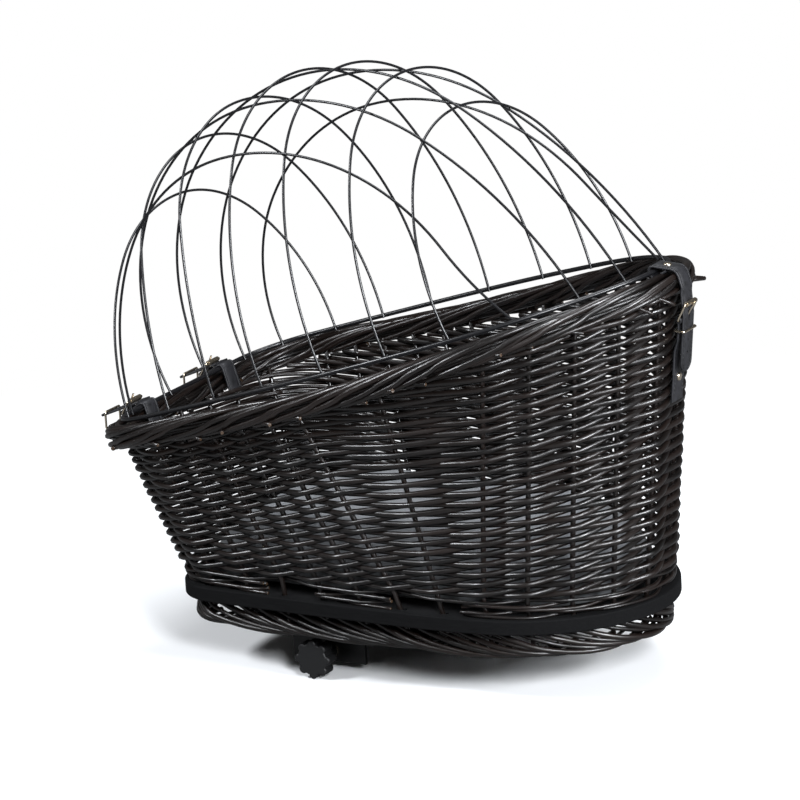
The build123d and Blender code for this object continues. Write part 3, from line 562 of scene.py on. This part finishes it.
for index in range(rim_strands):
    thick = random.uniform(*rim_radii)
    tone = random.uniform(*rim_tones)
    shift = random.uniform(-rim_start_spread, rim_start_spread)
    length = random.uniform(*rim_stakes)
    wander = random.uniform(*rim_wander)
    path = []
    for step in range(rim_steps + 1):
        share = step / rim_steps
        angle = radians(rim_start + shift + rim_sweep * share)
        turn = index / rim_strands + (0.5 + length * share) / stake_count
        path.append(rim_point(turn, angle, 1 + wander * sin(9 * share + index)))
    radii = [thick * (1 - rim_taper * abs(2 * step / rim_steps - 2 * thickest_share))
             for step in range(rim_steps + 1)]
    lay(rim, path, radii, tone, cut=True)
# Plain rods fill the middle of the border
for index in range(core_rods):
    angle = 2 * pi * index / core_rods
    path = [rim_point(step / core_steps, angle, core_reach) for step in range(core_steps + 1)]
    lay(rim, path, [core_radius] * len(path), 0.1, sides=6)
# Sawn ends of the stakes that stand out below the border, longer at its two ends
for index in range(stub_count):
    turn = (index + random.uniform(0.1, 0.9)) / stub_count
    at_end = min(turn, 1 - turn) < front_end_share or abs(turn - 0.5) < rear_end_share
    reach = random.uniform(*stub_lengths) + (stub_extra if at_end else 0)
    ahead = turn + random.uniform(*stub_leans)
    first = rim_point(turn, radians(-60), 0.8)
    last = rim_point(ahead, radians(random.uniform(*stub_angles)), 1 + reach / 10)
    radii = [random.uniform(*stub_radii)] * 3
    lay(rim, [first, first.lerp(last, 0.5), last], radii, random.uniform(*rim_tones), cut=True)
weave("rim_plait", rim, willow, "stained_willow", "root", "rim_border")


# Dome: spring wire bent into a ring, seven hoops and five long bows, welded where they meet.
# It is dipped in black lacquer, which leaves a smooth satin skin with bright lines of light.

wire_lacquer = new_material("black dipped lacquer on spring wire")
place = add(wire_lacquer, "ShaderNodeTexCoord")
# Slow waves of the dipped skin about 4 mm long
runs = add(wire_lacquer, "ShaderNodeTexNoise", [("Scale", 1 / (4 * mm)), ("Detail", 2)],
           [("Vector", place, "Object")])
shine = add(wire_lacquer, "ShaderNodeMapRange", [("To Min", 0.26), ("To Max", 0.34)],
            [("Value", runs, "Fac")])
close(wire_lacquer, add(wire_lacquer, "ShaderNodeBsdfPrincipled", [
    ("Base Color", linear("111113")), ("IOR", 1.5)], [("Roughness", shine, 0)]))
wires = ["dome_ring", *[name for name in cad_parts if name.startswith("arch_")]]
dress(wire_lacquer, *wires)
for name in wires:
    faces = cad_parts[name].data.polygons
    faces.foreach_set("use_smooth", [True] * len(faces))


# Straps: cow leather cut 20 mm wide, dyed black, creased near its edges and saddle-stitched.
# Two loop round ring and rim at the front and carry long tongues; one holds the dome down
# at the rear. Edges are rounded and burnished; the punched holes and the slots show raw cuts.

leather = new_material("black dyed cow leather")
place = add(leather, "ShaderNodeTexCoord")
# Pores and fine wrinkles about 0.8 mm apart, and slow patches of wear about 6 mm wide
pores = add(leather, "ShaderNodeTexVoronoi", [("Scale", 1 / (0.8 * mm))], [("Vector", place, "Object")])
wear = add(leather, "ShaderNodeTexNoise", [("Scale", 1 / (6.25 * mm)), ("Detail", 4)],
           [("Vector", place, "Object")])
dye = add(leather, "ShaderNodeValToRGB", [], [("Fac", wear, "Fac")])
dye.color_ramp.elements[0].position = 0.3
dye.color_ramp.elements[0].color = linear("0f0f11")
dye.color_ramp.elements[1].position = 0.75
dye.color_ramp.elements[1].color = linear("222226")
satin = add(leather, "ShaderNodeMapRange", [("To Min", 0.42), ("To Max", 0.62)], [("Value", wear, "Fac")])
relief = add(leather, "ShaderNodeBump", [("Strength", 0.25), ("Distance", 0.2 * mm)],
             [("Height", pores, "Distance")])
close(leather, add(leather, "ShaderNodeBsdfPrincipled", [("IOR", 1.5)], [
    ("Base Color", dye, 0), ("Roughness", satin, 0), ("Normal", relief, 0)]))

thread_wax = new_material("waxed black linen thread")
close(thread_wax, add(thread_wax, "ShaderNodeBsdfPrincipled", [
    ("Base Color", linear("0d0d0e")), ("Roughness", 0.5), ("IOR", 1.5)]))

strap_half = 10
half_thick = 1
tip_round = 9
crease_inset = 2.55
# Distance in from the edge and share of the half thickness, from the burnished edge to the crease
crease = ((0, 0), (0.15, 0.6), (0.5, 0.93), (1.1, 1), (2.2, 1), (crease_inset, 0.72), (2.9, 1))
stitch_length = 3
stitch_step = 4
thread_radius = 0.3


def rounded_line(corners, radii):
    """Points about a millimetre apart along a flat line with rounded corners."""
    corners = [Vector(corner) for corner in corners]
    points = [corners[0]]
    for before, corner, after, radius in zip(corners, corners[1:], corners[2:], radii):
        way = (corner - before).normalized()
        on = (after - corner).normalized()
        bend = atan2(way.x * on.y - way.y * on.x, way.dot(on))
        start = corner - way * radius * tan(abs(bend) / 2)
        middle = start + Vector((-way.y, way.x)) * (radius if bend > 0 else -radius)
        for step in range(25):
            turn = Matrix.Rotation(bend * step / 24, 2)
            points.append(middle + turn @ (start - middle))
    points.append(corners[-1])
    return points


def at_run(line, run):
    """Point and heading at a length along a line."""
    for first, last in zip(line, line[1:]):
        length = (last - first).length
        if length and (run <= length or last is line[-1]):
            return first + (last - first) * (run / length), (last - first) / length
        run -= length


def on_strap(strap, run, across, level):
    """Point of a strap in the part's frame, level 1 on its outer face."""
    origin, x_way, y_way = strap["seat"]
    point, way = at_run(strap["line"], run)
    point = point + Vector((-way.y, way.x)) * level * half_thick
    return origin + x_way * point.x + y_way * point.y + Vector((0, across, 0))


def band(mesh, strap, half=strap_half, centre=0, tip=0):
    """Adds a strap's body, with a rounded tip of that radius at its end."""
    start = len(mesh["points"])
    length = sum((last - first).length for first, last in zip(strap["line"], strap["line"][1:]))
    runs = [length * step / round(length) for step in range(round(length) + 1)]
    if tip:
        runs = sorted(runs + [length - share * tip for share in (0.01, 0.03, 0.06, 0.15)])
    sides = [(-1, out, level) for out, level in crease] + [(0, 0, 1)]
    sides += [(1, out, level) for out, level in reversed(crease)]
    sides += [(1, out, -level) for out, level in crease[1:4]] + [(0, 0, -1)]
    sides += [(-1, out, -level) for out, level in reversed(crease[1:4])]
    for run in runs:
        left = max(length - run, 0)
        wide = half
        if left < tip:
            wide = half - tip + sqrt(tip**2 - (tip - left)**2)
        for side, out, level in sides:
            across = side * max(wide - out, 0.02)
            mesh["points"].append(on_strap(strap, run, strap["middle"] + centre + across, level) * mm)
    count = len(sides)
    for ring in range(len(runs) - 1):
        low = start + ring * count
        for side in range(count):
            after = (side + 1) % count
            mesh["faces"].append((low + side, low + after, low + count + after, low + count + side))
    mesh["faces"].append(tuple(start + side for side in reversed(range(count))))
    top = start + (len(runs) - 1) * count
    mesh["faces"].append(tuple(top + side for side in range(count)))
    return length


def sew(thread, strap, first, last, tip=0):
    """Adds saddle stitches in both creases, and round the tip."""
    dive = 0.4
    stitch = ((0, 0.6), (dive, 1.0), (stitch_length - dive, 1.0), (stitch_length, 0.6))
    for side in (-1, 1):
        across = strap["middle"] + side * (strap_half - crease_inset)
        run = first
        while run + stitch_length < last - tip:
            path = [on_strap(strap, run + part, across, level) for part, level in stitch]
            lay(thread, path, [thread_radius] * 4, 0.5, sides=6)
            run += stitch_step
    if tip:
        inner = tip - crease_inset
        for step in range(-2, 3):
            path = []
            for part in range(4):
                angle = (step * stitch_step - stitch_length / 2 + part) / inner
                shift = (strap_half - tip) * ((step > 0) - (step < 0))
                run = last - tip + inner * cos(angle)
                path.append(on_strap(strap, run, strap["middle"] + shift + inner * sin(angle), 1.0))
            lay(thread, path, [thread_radius] * 4, 0.5, sides=6)


def unit(angle):
    """Flat vector of length one at an angle."""
    return Vector((cos(angle), sin(angle)))


def touching_line(first, last):
    """Direction of the line that lies on two round corners of (x, y, radius)."""
    away = Vector(last[:2]) - Vector(first[:2])
    return atan2(away.y, away.x) + asin((last[2] - first[2]) / away.length)


def belt(cores):
    """Closed line that is drawn tight round circles of (x, y, radius), listed clockwise."""
    normals = [touching_line(first, last) + pi / 2 for first, last in zip(cores, cores[1:] + cores[:1])]
    points = []
    for index, (x, y, radius) in enumerate(cores):
        first, last = normals[index - 1], normals[index]
        while last > first:
            last -= 2 * pi
        for step in range(13):
            angle = first + (last - first) * step / 12
            points.append(Vector((x + radius * cos(angle), y + radius * sin(angle))))
    return points + points[:1]


def strap_object(name, mesh, cutters, node):
    """Makes a strap's object, cuts its slot and holes, and sets it in place of the CAD node."""
    data = bpy.data.meshes.new(name)
    data.from_pydata(mesh["points"], [], mesh["faces"])
    data.materials.append(leather)
    made = bpy.data.objects.new(name, data)
    bpy.context.scene.collection.objects.link(made)
    for place, x_way, size in cutters:
        bpy.ops.mesh.primitive_cylinder_add(vertices=24, radius=1, depth=1)
        tool = bpy.context.object
        z_way = x_way.cross(Vector((0, 1, 0)))
        turn = Matrix((x_way, Vector((0, 1, 0)), z_way)).transposed().to_4x4()
        tool.matrix_world = Matrix.Translation(place * mm) @ turn @ Matrix.Diagonal((*Vector(size) * mm, 1))
        cut = made.modifiers.new("hole", "BOOLEAN")
        cut.object = tool
        bpy.context.view_layer.update()
        shaped = made.evaluated_get(bpy.context.evaluated_depsgraph_get())
        made.data = bpy.data.meshes.new_from_object(shaped)
        made.modifiers.clear()
        bpy.data.objects.remove(tool)
    made.data.polygons.foreach_set("use_smooth", [True] * len(made.data.polygons))
    made.data.set_sharp_from_angle(angle=radians(40))
    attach(made, node_body[node])
    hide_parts(node)


node_body = {"front_strap_left": "root", "front_strap_right": "root", "rear_anchor": "root",
             "rear_billet": "rear_strap"}
thread_root = new_bundle()
thread_billet = new_bundle()

# Rim and ring wire in section, in mm: x out from the wire, y square to the ring's plane
along = Vector((cos(slope), 0, sin(slope)))
square = Vector((-sin(slope), 0, cos(slope)))
clearance = 0.3
touch = 0.1
ring_wire = 2
rim_round = 7
rim_core_x = 13
rim_top = -2.3
rim_bottom = -24
upper_core = (rim_core_x, rim_top - rim_round)
lower_core = (rim_core_x, rim_bottom + rim_round)

# The rear billet leaves the ring, bears on the rim and hangs along the wall
ring_gap = 1.2
wall_top_out = 14
wall_foot_in = 3
rear_origin = on_ring(ring_sizes[1], 0, 0)
loop_reach = ring_wire + ring_gap + half_thick
rim_reach = rim_round + clearance + half_thick
heading = touching_line((0, 0, loop_reach), (*upper_core, rim_reach))
wall_top = Vector((wall_top_out, rim_bottom))
wall_foot = Vector((board_centre + board_sizes[1] - wall_foot_in, 0, board_top)) - rear_origin
down = (Vector((wall_foot.dot(along), wall_foot.dot(square))) - wall_top).normalized()
away = Vector((-down.y, down.x))
drop_origin = Vector(lower_core) + away * rim_reach
drop_way = along * down.x + square * down.y
drop_seat = (rear_origin + along * drop_origin.x + square * drop_origin.y, drop_way,
             along * away.x + square * away.y)


def at_drop(drop, lift):
    """Point of the rim's section at a drop below the rim and a distance from the hanging line."""
    return drop_origin + down * drop + away * lift


# Rear billet: round the ring, back under itself, over the rim and down through the buckle
lap_reach = 12.5
loop_drop_share = 1.35
loop_round_share = 0.85
bulge = 3
bulge_round = 9
bulge_start_drop = 5
bulge_end_drop = 23
tip_drop = 73
billet_seam_start = 24
prong_drop = 23.5
spare_hole_drops = (45, 56)
prong_slot_half = 5
prong_slot_side = 1.6
hole_radius = 0.9
cut_depth = 8
ring_side = Vector((-loop_reach, loop_reach * (1 - sin(heading)) / cos(heading)))
outer = rim_core_x + rim_reach
run_way = unit(heading)
corner = ring_side + run_way * ((outer - ring_side.x) / run_way.x)
lap = ring_side + run_way * ((lap_reach - ring_side.x) / run_way.x)
lap -= unit(heading + pi / 2) * (2 * half_thick + touch)
lower_corner = (outer, drop_origin.y + down.y * (outer - drop_origin.x) / down.x)
loop_round = loop_reach * loop_round_share
billet = {"seat": (rear_origin, along, square), "middle": 0, "line": rounded_line(
    (lap, (-loop_reach, -loop_reach * loop_drop_share), ring_side, corner, lower_corner,
     at_drop(bulge_start_drop, 0), at_drop(bulge_end_drop, bulge), at_drop(tip_drop, bulge)),
    (loop_round, loop_round, rim_reach, rim_reach, bulge_round, bulge_round))}
mesh = {"points": [], "faces": []}
long = band(mesh, billet, tip=tip_round)
sew(thread_billet, billet, billet_seam_start, long, tip=tip_round)
# The prong's slot and two spare holes: drop, then half the length and half the width of the cut
cuts = [(prong_drop, prong_slot_half, prong_slot_side)]
cuts += [(drop, hole_radius, hole_radius) for drop in spare_hole_drops]
cutters = [(on_strap(billet, long - tip_drop + drop, 0, 0), drop_way, (*size, cut_depth))
           for drop, *size in cuts]
strap_object("rear_billet_leather", mesh, cutters, "rear_billet")

# Rear anchor: riveted to the wall, lifted where the keeper passes, folded round the heel bar
heel_drop = 27.5
heel_rise = -1.2
anchor_start_drop = 29.4
lift_start_drop = 45
lift_end_drop = 55
anchor_drop = 100
fold_half = 4.2
fold_side = 5.8
fold_radius = 2.1
anchor_seam_start = 6
anchor_seam_end = 3
wall_level = (wall_top - drop_origin).dot(away) + touch + half_thick
anchor = {"seat": drop_seat, "middle": 0, "line": rounded_line(
    ((anchor_start_drop, heel_rise), (lift_start_drop, heel_rise), (lift_end_drop, wall_level),
     (anchor_drop, wall_level)), (bulge_round, bulge_round))}
mesh = {"points": [], "faces": []}
long = band(mesh, anchor)
sew(thread_root, anchor, anchor_seam_start, long - anchor_seam_end)
fold = {"seat": drop_seat, "middle": 0,
        "line": belt([(heel_drop, heel_rise, fold_radius), (heel_drop + touch, heel_rise, fold_radius)])}
for side in (-1, 1):
    band(mesh, fold, half=fold_half, centre=side * fold_side)
strap_object("rear_anchor_leather", mesh, [], "rear_anchor")

# Front straps: a closed loop round ring and rim, a long tongue, and a fold at the heel bar
front_side = 66
loop_foot_round = 1.4
tongue_lift = radians(13)
tongue_length = 47
tongue_seam_start = 4
loop_seam_start = 26
loop_seam_end = 24
front_heel = (20, 0.9)
front_fold_radius = 2
# The prong's slot and two spare holes: run, then half the length and half the width of the cut
front_cuts = ((17, 4.5, prong_slot_side), (29, hole_radius, hole_radius), (36, hole_radius, hole_radius))
front_cut_depth = 5
wire_reach = ring_wire + clearance
loop_cores = [
    (0, 0, wire_reach + half_thick),
    (*upper_core, rim_round + touch + half_thick),
    (*lower_core, rim_round + touch + half_thick),
    (loop_foot_round - wire_reach, rim_bottom - touch + loop_foot_round, loop_foot_round + half_thick),
]
band_way = touching_line(loop_cores[0], loop_cores[1])
tongue_root = unit(band_way + pi / 2) * (wire_reach + 2 * half_thick)
tongue_start = Vector((0, half_thick - clearance))
for side, name in ((-1, "left"), (1, "right")):
    origin = on_ring(-ring_sizes[0], 0, 0)
    loop = {"seat": (origin, -along, square), "middle": side * front_side, "line": belt(loop_cores)}
    tongue_seat = (origin - along * tongue_root.x + square * tongue_root.y,
                   -along * cos(band_way) + square * sin(band_way),
                   along * sin(band_way) + square * cos(band_way))
    tongue = {"seat": tongue_seat, "middle": side * front_side,
              "line": [tongue_start, tongue_start + unit(tongue_lift) * tongue_length]}
    fold = {"seat": tongue_seat, "middle": side * front_side,
            "line": belt([(*front_heel, front_fold_radius),
                          (front_heel[0] + touch, front_heel[1], front_fold_radius)])}
    mesh = {"points": [], "faces": []}
    long = band(mesh, loop)
    sew(thread_root, loop, loop_seam_start, long - loop_seam_end)
    long = band(mesh, tongue, tip=tip_round)
    sew(thread_root, tongue, tongue_seam_start, long, tip=tip_round)
    for half in (-1, 1):
        band(mesh, fold, half=fold_half, centre=half * fold_side)
    way = tongue_seat[1] * cos(tongue_lift) + tongue_seat[2] * sin(tongue_lift)
    cutters = [(on_strap(tongue, run, side * front_side, 0), way, (*size, front_cut_depth))
               for run, *size in front_cuts]
    strap_object(f"front_strap_{name}_leather", mesh, cutters, f"front_strap_{name}")
weave("strap_stitches", thread_root, thread_wax, "strap_leather", "root")
weave("billet_stitches", thread_billet, thread_wax, "strap_leather", "rear_strap")


# Buckles, keepers, rivets and washers: steel wire and sheet with a warm bright nickel plate.
# The rollers turn on the wire frames, so they carry fine scratches round them.

nickel = new_material("warm nickel plate on steel wire")
place = add(nickel, "ShaderNodeTexCoord")
# Scratches about 0.3 mm apart and 2 mm long that run round the rollers
scratch_size = (1 / (2 * mm), 1 / (0.333 * mm), 1 / (2 * mm))
fine = add(nickel, "ShaderNodeMapping", [("Scale", scratch_size)], [("Vector", place, "Object")])
scratch = add(nickel, "ShaderNodeTexNoise", [("Scale", 1), ("Detail", 3)], [("Vector", fine, 0)])
shine = add(nickel, "ShaderNodeMapRange", [("To Min", 0.14), ("To Max", 0.34)], [("Value", scratch, "Fac")])
close(nickel, add(nickel, "ShaderNodeBsdfPrincipled", [
    ("Base Color", linear("d8cbb6")), ("Metallic", 1)], [("Roughness", shine, 0)]))
paired = ("front_buckle", "front_roller", "front_prong", "front_keeper", "clamp_washer")
dress(nickel, "rear_buckle", "rear_roller", "rear_prong", "rear_keeper", "rear_billet_rivet",
      "rear_anchor_rivet", *[f"{piece}_{name}" for piece in paired for name in ("left", "right")])


# Clamp plate and brackets: 2.5 and 3 mm steel sheet, folded, then powder-coated black.
# The powder melts to a satin skin with a faint orange peel.

powder = new_material("black powder coat on folded steel")
place = add(powder, "ShaderNodeTexCoord")
# Orange peel with cells about 1.5 mm wide
peel = add(powder, "ShaderNodeTexNoise", [("Scale", 1 / (1.54 * mm)), ("Detail", 2)],
           [("Vector", place, "Object")])
dull = add(powder, "ShaderNodeMapRange", [("To Min", 0.34), ("To Max", 0.52)], [("Value", peel, "Fac")])
relief = add(powder, "ShaderNodeBump", [("Strength", 0.2), ("Distance", 0.3 * mm)],
             [("Height", peel, "Fac")])
close(powder, add(powder, "ShaderNodeBsdfPrincipled", [("Base Color", linear("151516")), ("IOR", 1.5)], [
    ("Roughness", dull, 0), ("Normal", relief, 0)]))
dress(powder, "mounting_plate", "clamp_bracket_left", "clamp_bracket_right")


# Rod, bolts, screws and nuts: turned and rolled steel with bright zinc plate.
# The threads have a pitch of 1.25 mm; the smooth CAD shanks carry them as relief.

thread_pitch = 1.25
upright = ("batten_bolts", "batten_nuts", "guide_screws_left", "guide_screws_right",
           "guide_nuts_left", "guide_nuts_right")
for name, direction, nodes in (("zinc plate on threaded rod", "Y", ("cross_rod",)),
                               ("zinc plate on screws and nuts", "Z", upright)):
    zinc = new_material(name)
    place = add(zinc, "ShaderNodeTexCoord")
    # A wave has 20 crests in 2 pi units, so this scale sets its crests one pitch apart
    crests = [("bands_direction", direction), ("Scale", 2 * pi / 20 / (thread_pitch * mm))]
    thread = add(zinc, "ShaderNodeTexWave", crests, [("Vector", place, "Object")])
    relief = add(zinc, "ShaderNodeBump", [("Strength", 0.8), ("Distance", 0.6 * mm)],
                 [("Height", thread, "Fac")])
    close(zinc, add(zinc, "ShaderNodeBsdfPrincipled", [
        ("Base Color", linear("b4b7bb")), ("Metallic", 1), ("Roughness", 0.34)], [("Normal", relief, 0)]))
    dress(zinc, *nodes)


# Star knobs: black nylon moulded round a threaded insert, one at each end of the rod.
# The mould was lightly eroded, so the lobes are dull with a fine even grain.

nylon = new_material("black moulded nylon")
place = add(nylon, "ShaderNodeTexCoord")
# Eroded grain about 0.35 mm wide
erosion = add(nylon, "ShaderNodeTexNoise", [("Scale", 1 / (0.357 * mm)), ("Detail", 2)],
              [("Vector", place, "Object")])
dull = add(nylon, "ShaderNodeMapRange", [("To Min", 0.4), ("To Max", 0.58)], [("Value", erosion, "Fac")])
relief = add(nylon, "ShaderNodeBump", [("Strength", 0.25), ("Distance", 0.1 * mm)],
             [("Height", erosion, "Fac")])
close(nylon, add(nylon, "ShaderNodeBsdfPrincipled", [("Base Color", linear("131314")), ("IOR", 1.5)], [
    ("Roughness", dull, 0), ("Normal", relief, 0)]))
dress(nylon, "star_knob_left", "star_knob_right")


# Cushion: a loose pad of light grey cotton filled with fibre, laid on the board.
# The filling swells its crown while the sides draw in, and the cloth creases a little.

cotton = new_material("light grey cotton canvas darkened with painted shade")
place = add(cotton, "ShaderNodeTexCoord")
# Threads 0.8 mm apart along and across the pad, drawn coarser than the real ones so they show
thread_gap = 0.8
crests = [("Scale", 2 * pi / 20 / (thread_gap * mm)), ("Distortion", 1.5)]
warp = add(cotton, "ShaderNodeTexWave", [("bands_direction", "X"), *crests], [("Vector", place, "Object")])
weft = add(cotton, "ShaderNodeTexWave", [("bands_direction", "Y"), *crests], [("Vector", place, "Object")])
cloth_relief = add(cotton, "ShaderNodeMath", [("operation", "ADD")], [(0, warp, "Fac"), (1, weft, "Fac")])
relief = add(cotton, "ShaderNodeBump", [("Strength", 0.3), ("Distance", 0.3 * mm)],
             [("Height", cloth_relief, 0)])
# The base colour is darker than the light grey cloth itself: painted shade for the inside of the basket
# under the dome.
close(cotton, add(cotton, "ShaderNodeBsdfPrincipled", [
    ("Base Color", linear("737578")), ("Roughness", 0.9), ("Sheen Weight", 0.2), ("IOR", 1.5)],
    [("Normal", relief, 0)]))

scene = bpy.context.scene
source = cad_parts["cushion"]
pad = bpy.data.objects.new("cushion_pad", source.data.copy())
pad.data.transform(source.matrix_world)
pad.data.materials.clear()
pad.data.materials.append(cotton)
scene.collection.objects.link(pad)
skin = pad.modifiers.new("skin", "REMESH")
skin.mode = "VOXEL"
skin.voxel_size = 6 * mm
pad.data = bpy.data.meshes.new_from_object(pad.evaluated_get(bpy.context.evaluated_depsgraph_get()))
pad.modifiers.clear()
# The cloth may swell 8 mm, but sideways only 1 mm, so it stays clear of the wall
swell = 8 * mm
swell_out = 1 * mm
swell_down = 4 * mm
pad_middle_x = 60 * mm
cloth = pad.modifiers.new("cloth", "CLOTH")
cloth.settings.use_pressure = True
cloth.settings.uniform_pressure_force = 4
cloth.settings.effector_weights.gravity = 0
for moment in range(1, 21):
    scene.frame_set(moment)
swollen = pad.evaluated_get(bpy.context.evaluated_depsgraph_get())
places = [vertex.co.copy() for vertex in swollen.data.vertices]
pad.modifiers.clear()
scene.frame_set(1)
for vertex, place in zip(pad.data.vertices, places):
    push = place - vertex.co
    if push.length > swell:
        push *= swell / push.length
    outwards = Vector((vertex.co.x - pad_middle_x, vertex.co.y, 0)).normalized()
    spread = push.dot(outwards)
    if spread > swell_out:
        push -= outwards * (spread - swell_out)
    push.z = max(push.z, -swell_down)
    vertex.co += push
    vertex.co.z = max(vertex.co.z, (board_top + 0.2) * mm)
pad.data.polygons.foreach_set("use_smooth", [True] * len(pad.data.polygons))
pad.modifiers.new("smooth", "SUBSURF").levels = 1
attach(pad, "root")
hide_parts("cushion")


# Floor, light and camera: a pale plain studio, lit softly from above and both sides.
# The camera stands at the height and angle of the photograph, far away with a long lens.

floor_level = -35.6 * mm
bpy.ops.mesh.primitive_plane_add(size=12, location=(0, 0, floor_level))
floor = bpy.context.object
floor.name = "studio_floor"
pale_floor = new_material("pale studio floor")
place = add(pale_floor, "ShaderNodeTexCoord")
reach = add(pale_floor, "ShaderNodeVectorMath", [("operation", "LENGTH")], [(0, place, "Object")])
# Seen from the camera the floor is pale near the basket and runs out into white a metre away
far = add(pale_floor, "ShaderNodeMapRange", [("From Min", 0.35), ("From Max", 1.0)],
          [("Value", reach, "Value")])
ray = add(pale_floor, "ShaderNodeLightPath")
white = add(pale_floor, "ShaderNodeMath", [("operation", "MULTIPLY")],
            [(0, far, 0), (1, ray, "Is Camera Ray")])
shade = add(pale_floor, "ShaderNodeMapRange", [("To Min", 0.16), ("To Max", 0.9)],
            [("Value", ray, "Is Camera Ray")])
matt = add(pale_floor, "ShaderNodeBsdfDiffuse", [], [("Color", shade, 0)])
glow = add(pale_floor, "ShaderNodeEmission", [("Color", linear("ffffff"))])
close(pale_floor, add(pale_floor, "ShaderNodeMixShader", [], [(0, white, 0), (1, matt, 0), (2, glow, 0)]))
floor.data.materials.append(pale_floor)

# The camera sees the surroundings white; the basket gets only a faint light from them
world = bpy.data.worlds.new("white studio")
scene.world = world
world.use_nodes = True
world.node_tree.nodes.clear()
rays = add(world, "ShaderNodeLightPath")
seen = add(world, "ShaderNodeMath", [("operation", "MAXIMUM")],
           [(0, rays, "Is Camera Ray"), (1, rays, "Is Transmission Ray")])
level = add(world, "ShaderNodeMapRange", [("To Min", 0.08), ("To Max", 1)], [("Value", seen, 0)])
sky = add(world, "ShaderNodeBackground", [("Color", linear("ffffff"))], [("Strength", level, 0)])
add(world, "ShaderNodeOutputWorld", [], [("Surface", sky, 0)])

daylight = (0.93, 0.96, 1)


def softbox(name, place, size, power, aim=(0.05, 0, 0.2)):
    """A square studio lamp aimed at the basket."""
    lamp = bpy.data.lights.new(name, "AREA")
    lamp.size = size
    lamp.energy = power
    lamp.color = daylight
    made = bpy.data.objects.new(name, lamp)
    made.location = place
    made.rotation_euler = (Vector(aim) - Vector(place)).to_track_quat("-Z", "Y").to_euler()
    scene.collection.objects.link(made)


softbox("key_lamp", (-1.9, -2.0, 2.6), 0.7, 115)
softbox("fill_lamp", (2.3, -2.2, 1.7), 0.7, 130)
softbox("top_lamp", (0.2, 0.5, 2.8), 1.3, 55)
softbox("side_lamp", (3.0, -0.5, 1.2), 0.7, 130)

scene.view_settings.view_transform = "Standard"
azimuth, elevation, lean = radians(30.13), radians(15.41), radians(-3.5)
aim = Vector((43, 0, 192)) * mm
distance = 4.176
forward = Vector((-sin(azimuth) * cos(elevation), cos(azimuth) * cos(elevation), -sin(elevation)))
right = Vector((cos(azimuth), sin(azimuth), 0))
up = right.cross(forward)
turned_right = right * cos(lean) + up * sin(lean)
turned_up = up * cos(lean) - right * sin(lean)
lens = bpy.data.cameras.new("camera")
lens.lens = 216
lens.clip_end = 30
camera = bpy.data.objects.new("camera", lens)
camera.location = aim - forward * distance
camera.rotation_euler = Matrix((turned_right, turned_up, -forward)).transposed().to_euler()
scene.collection.objects.link(camera)
scene.camera = camera
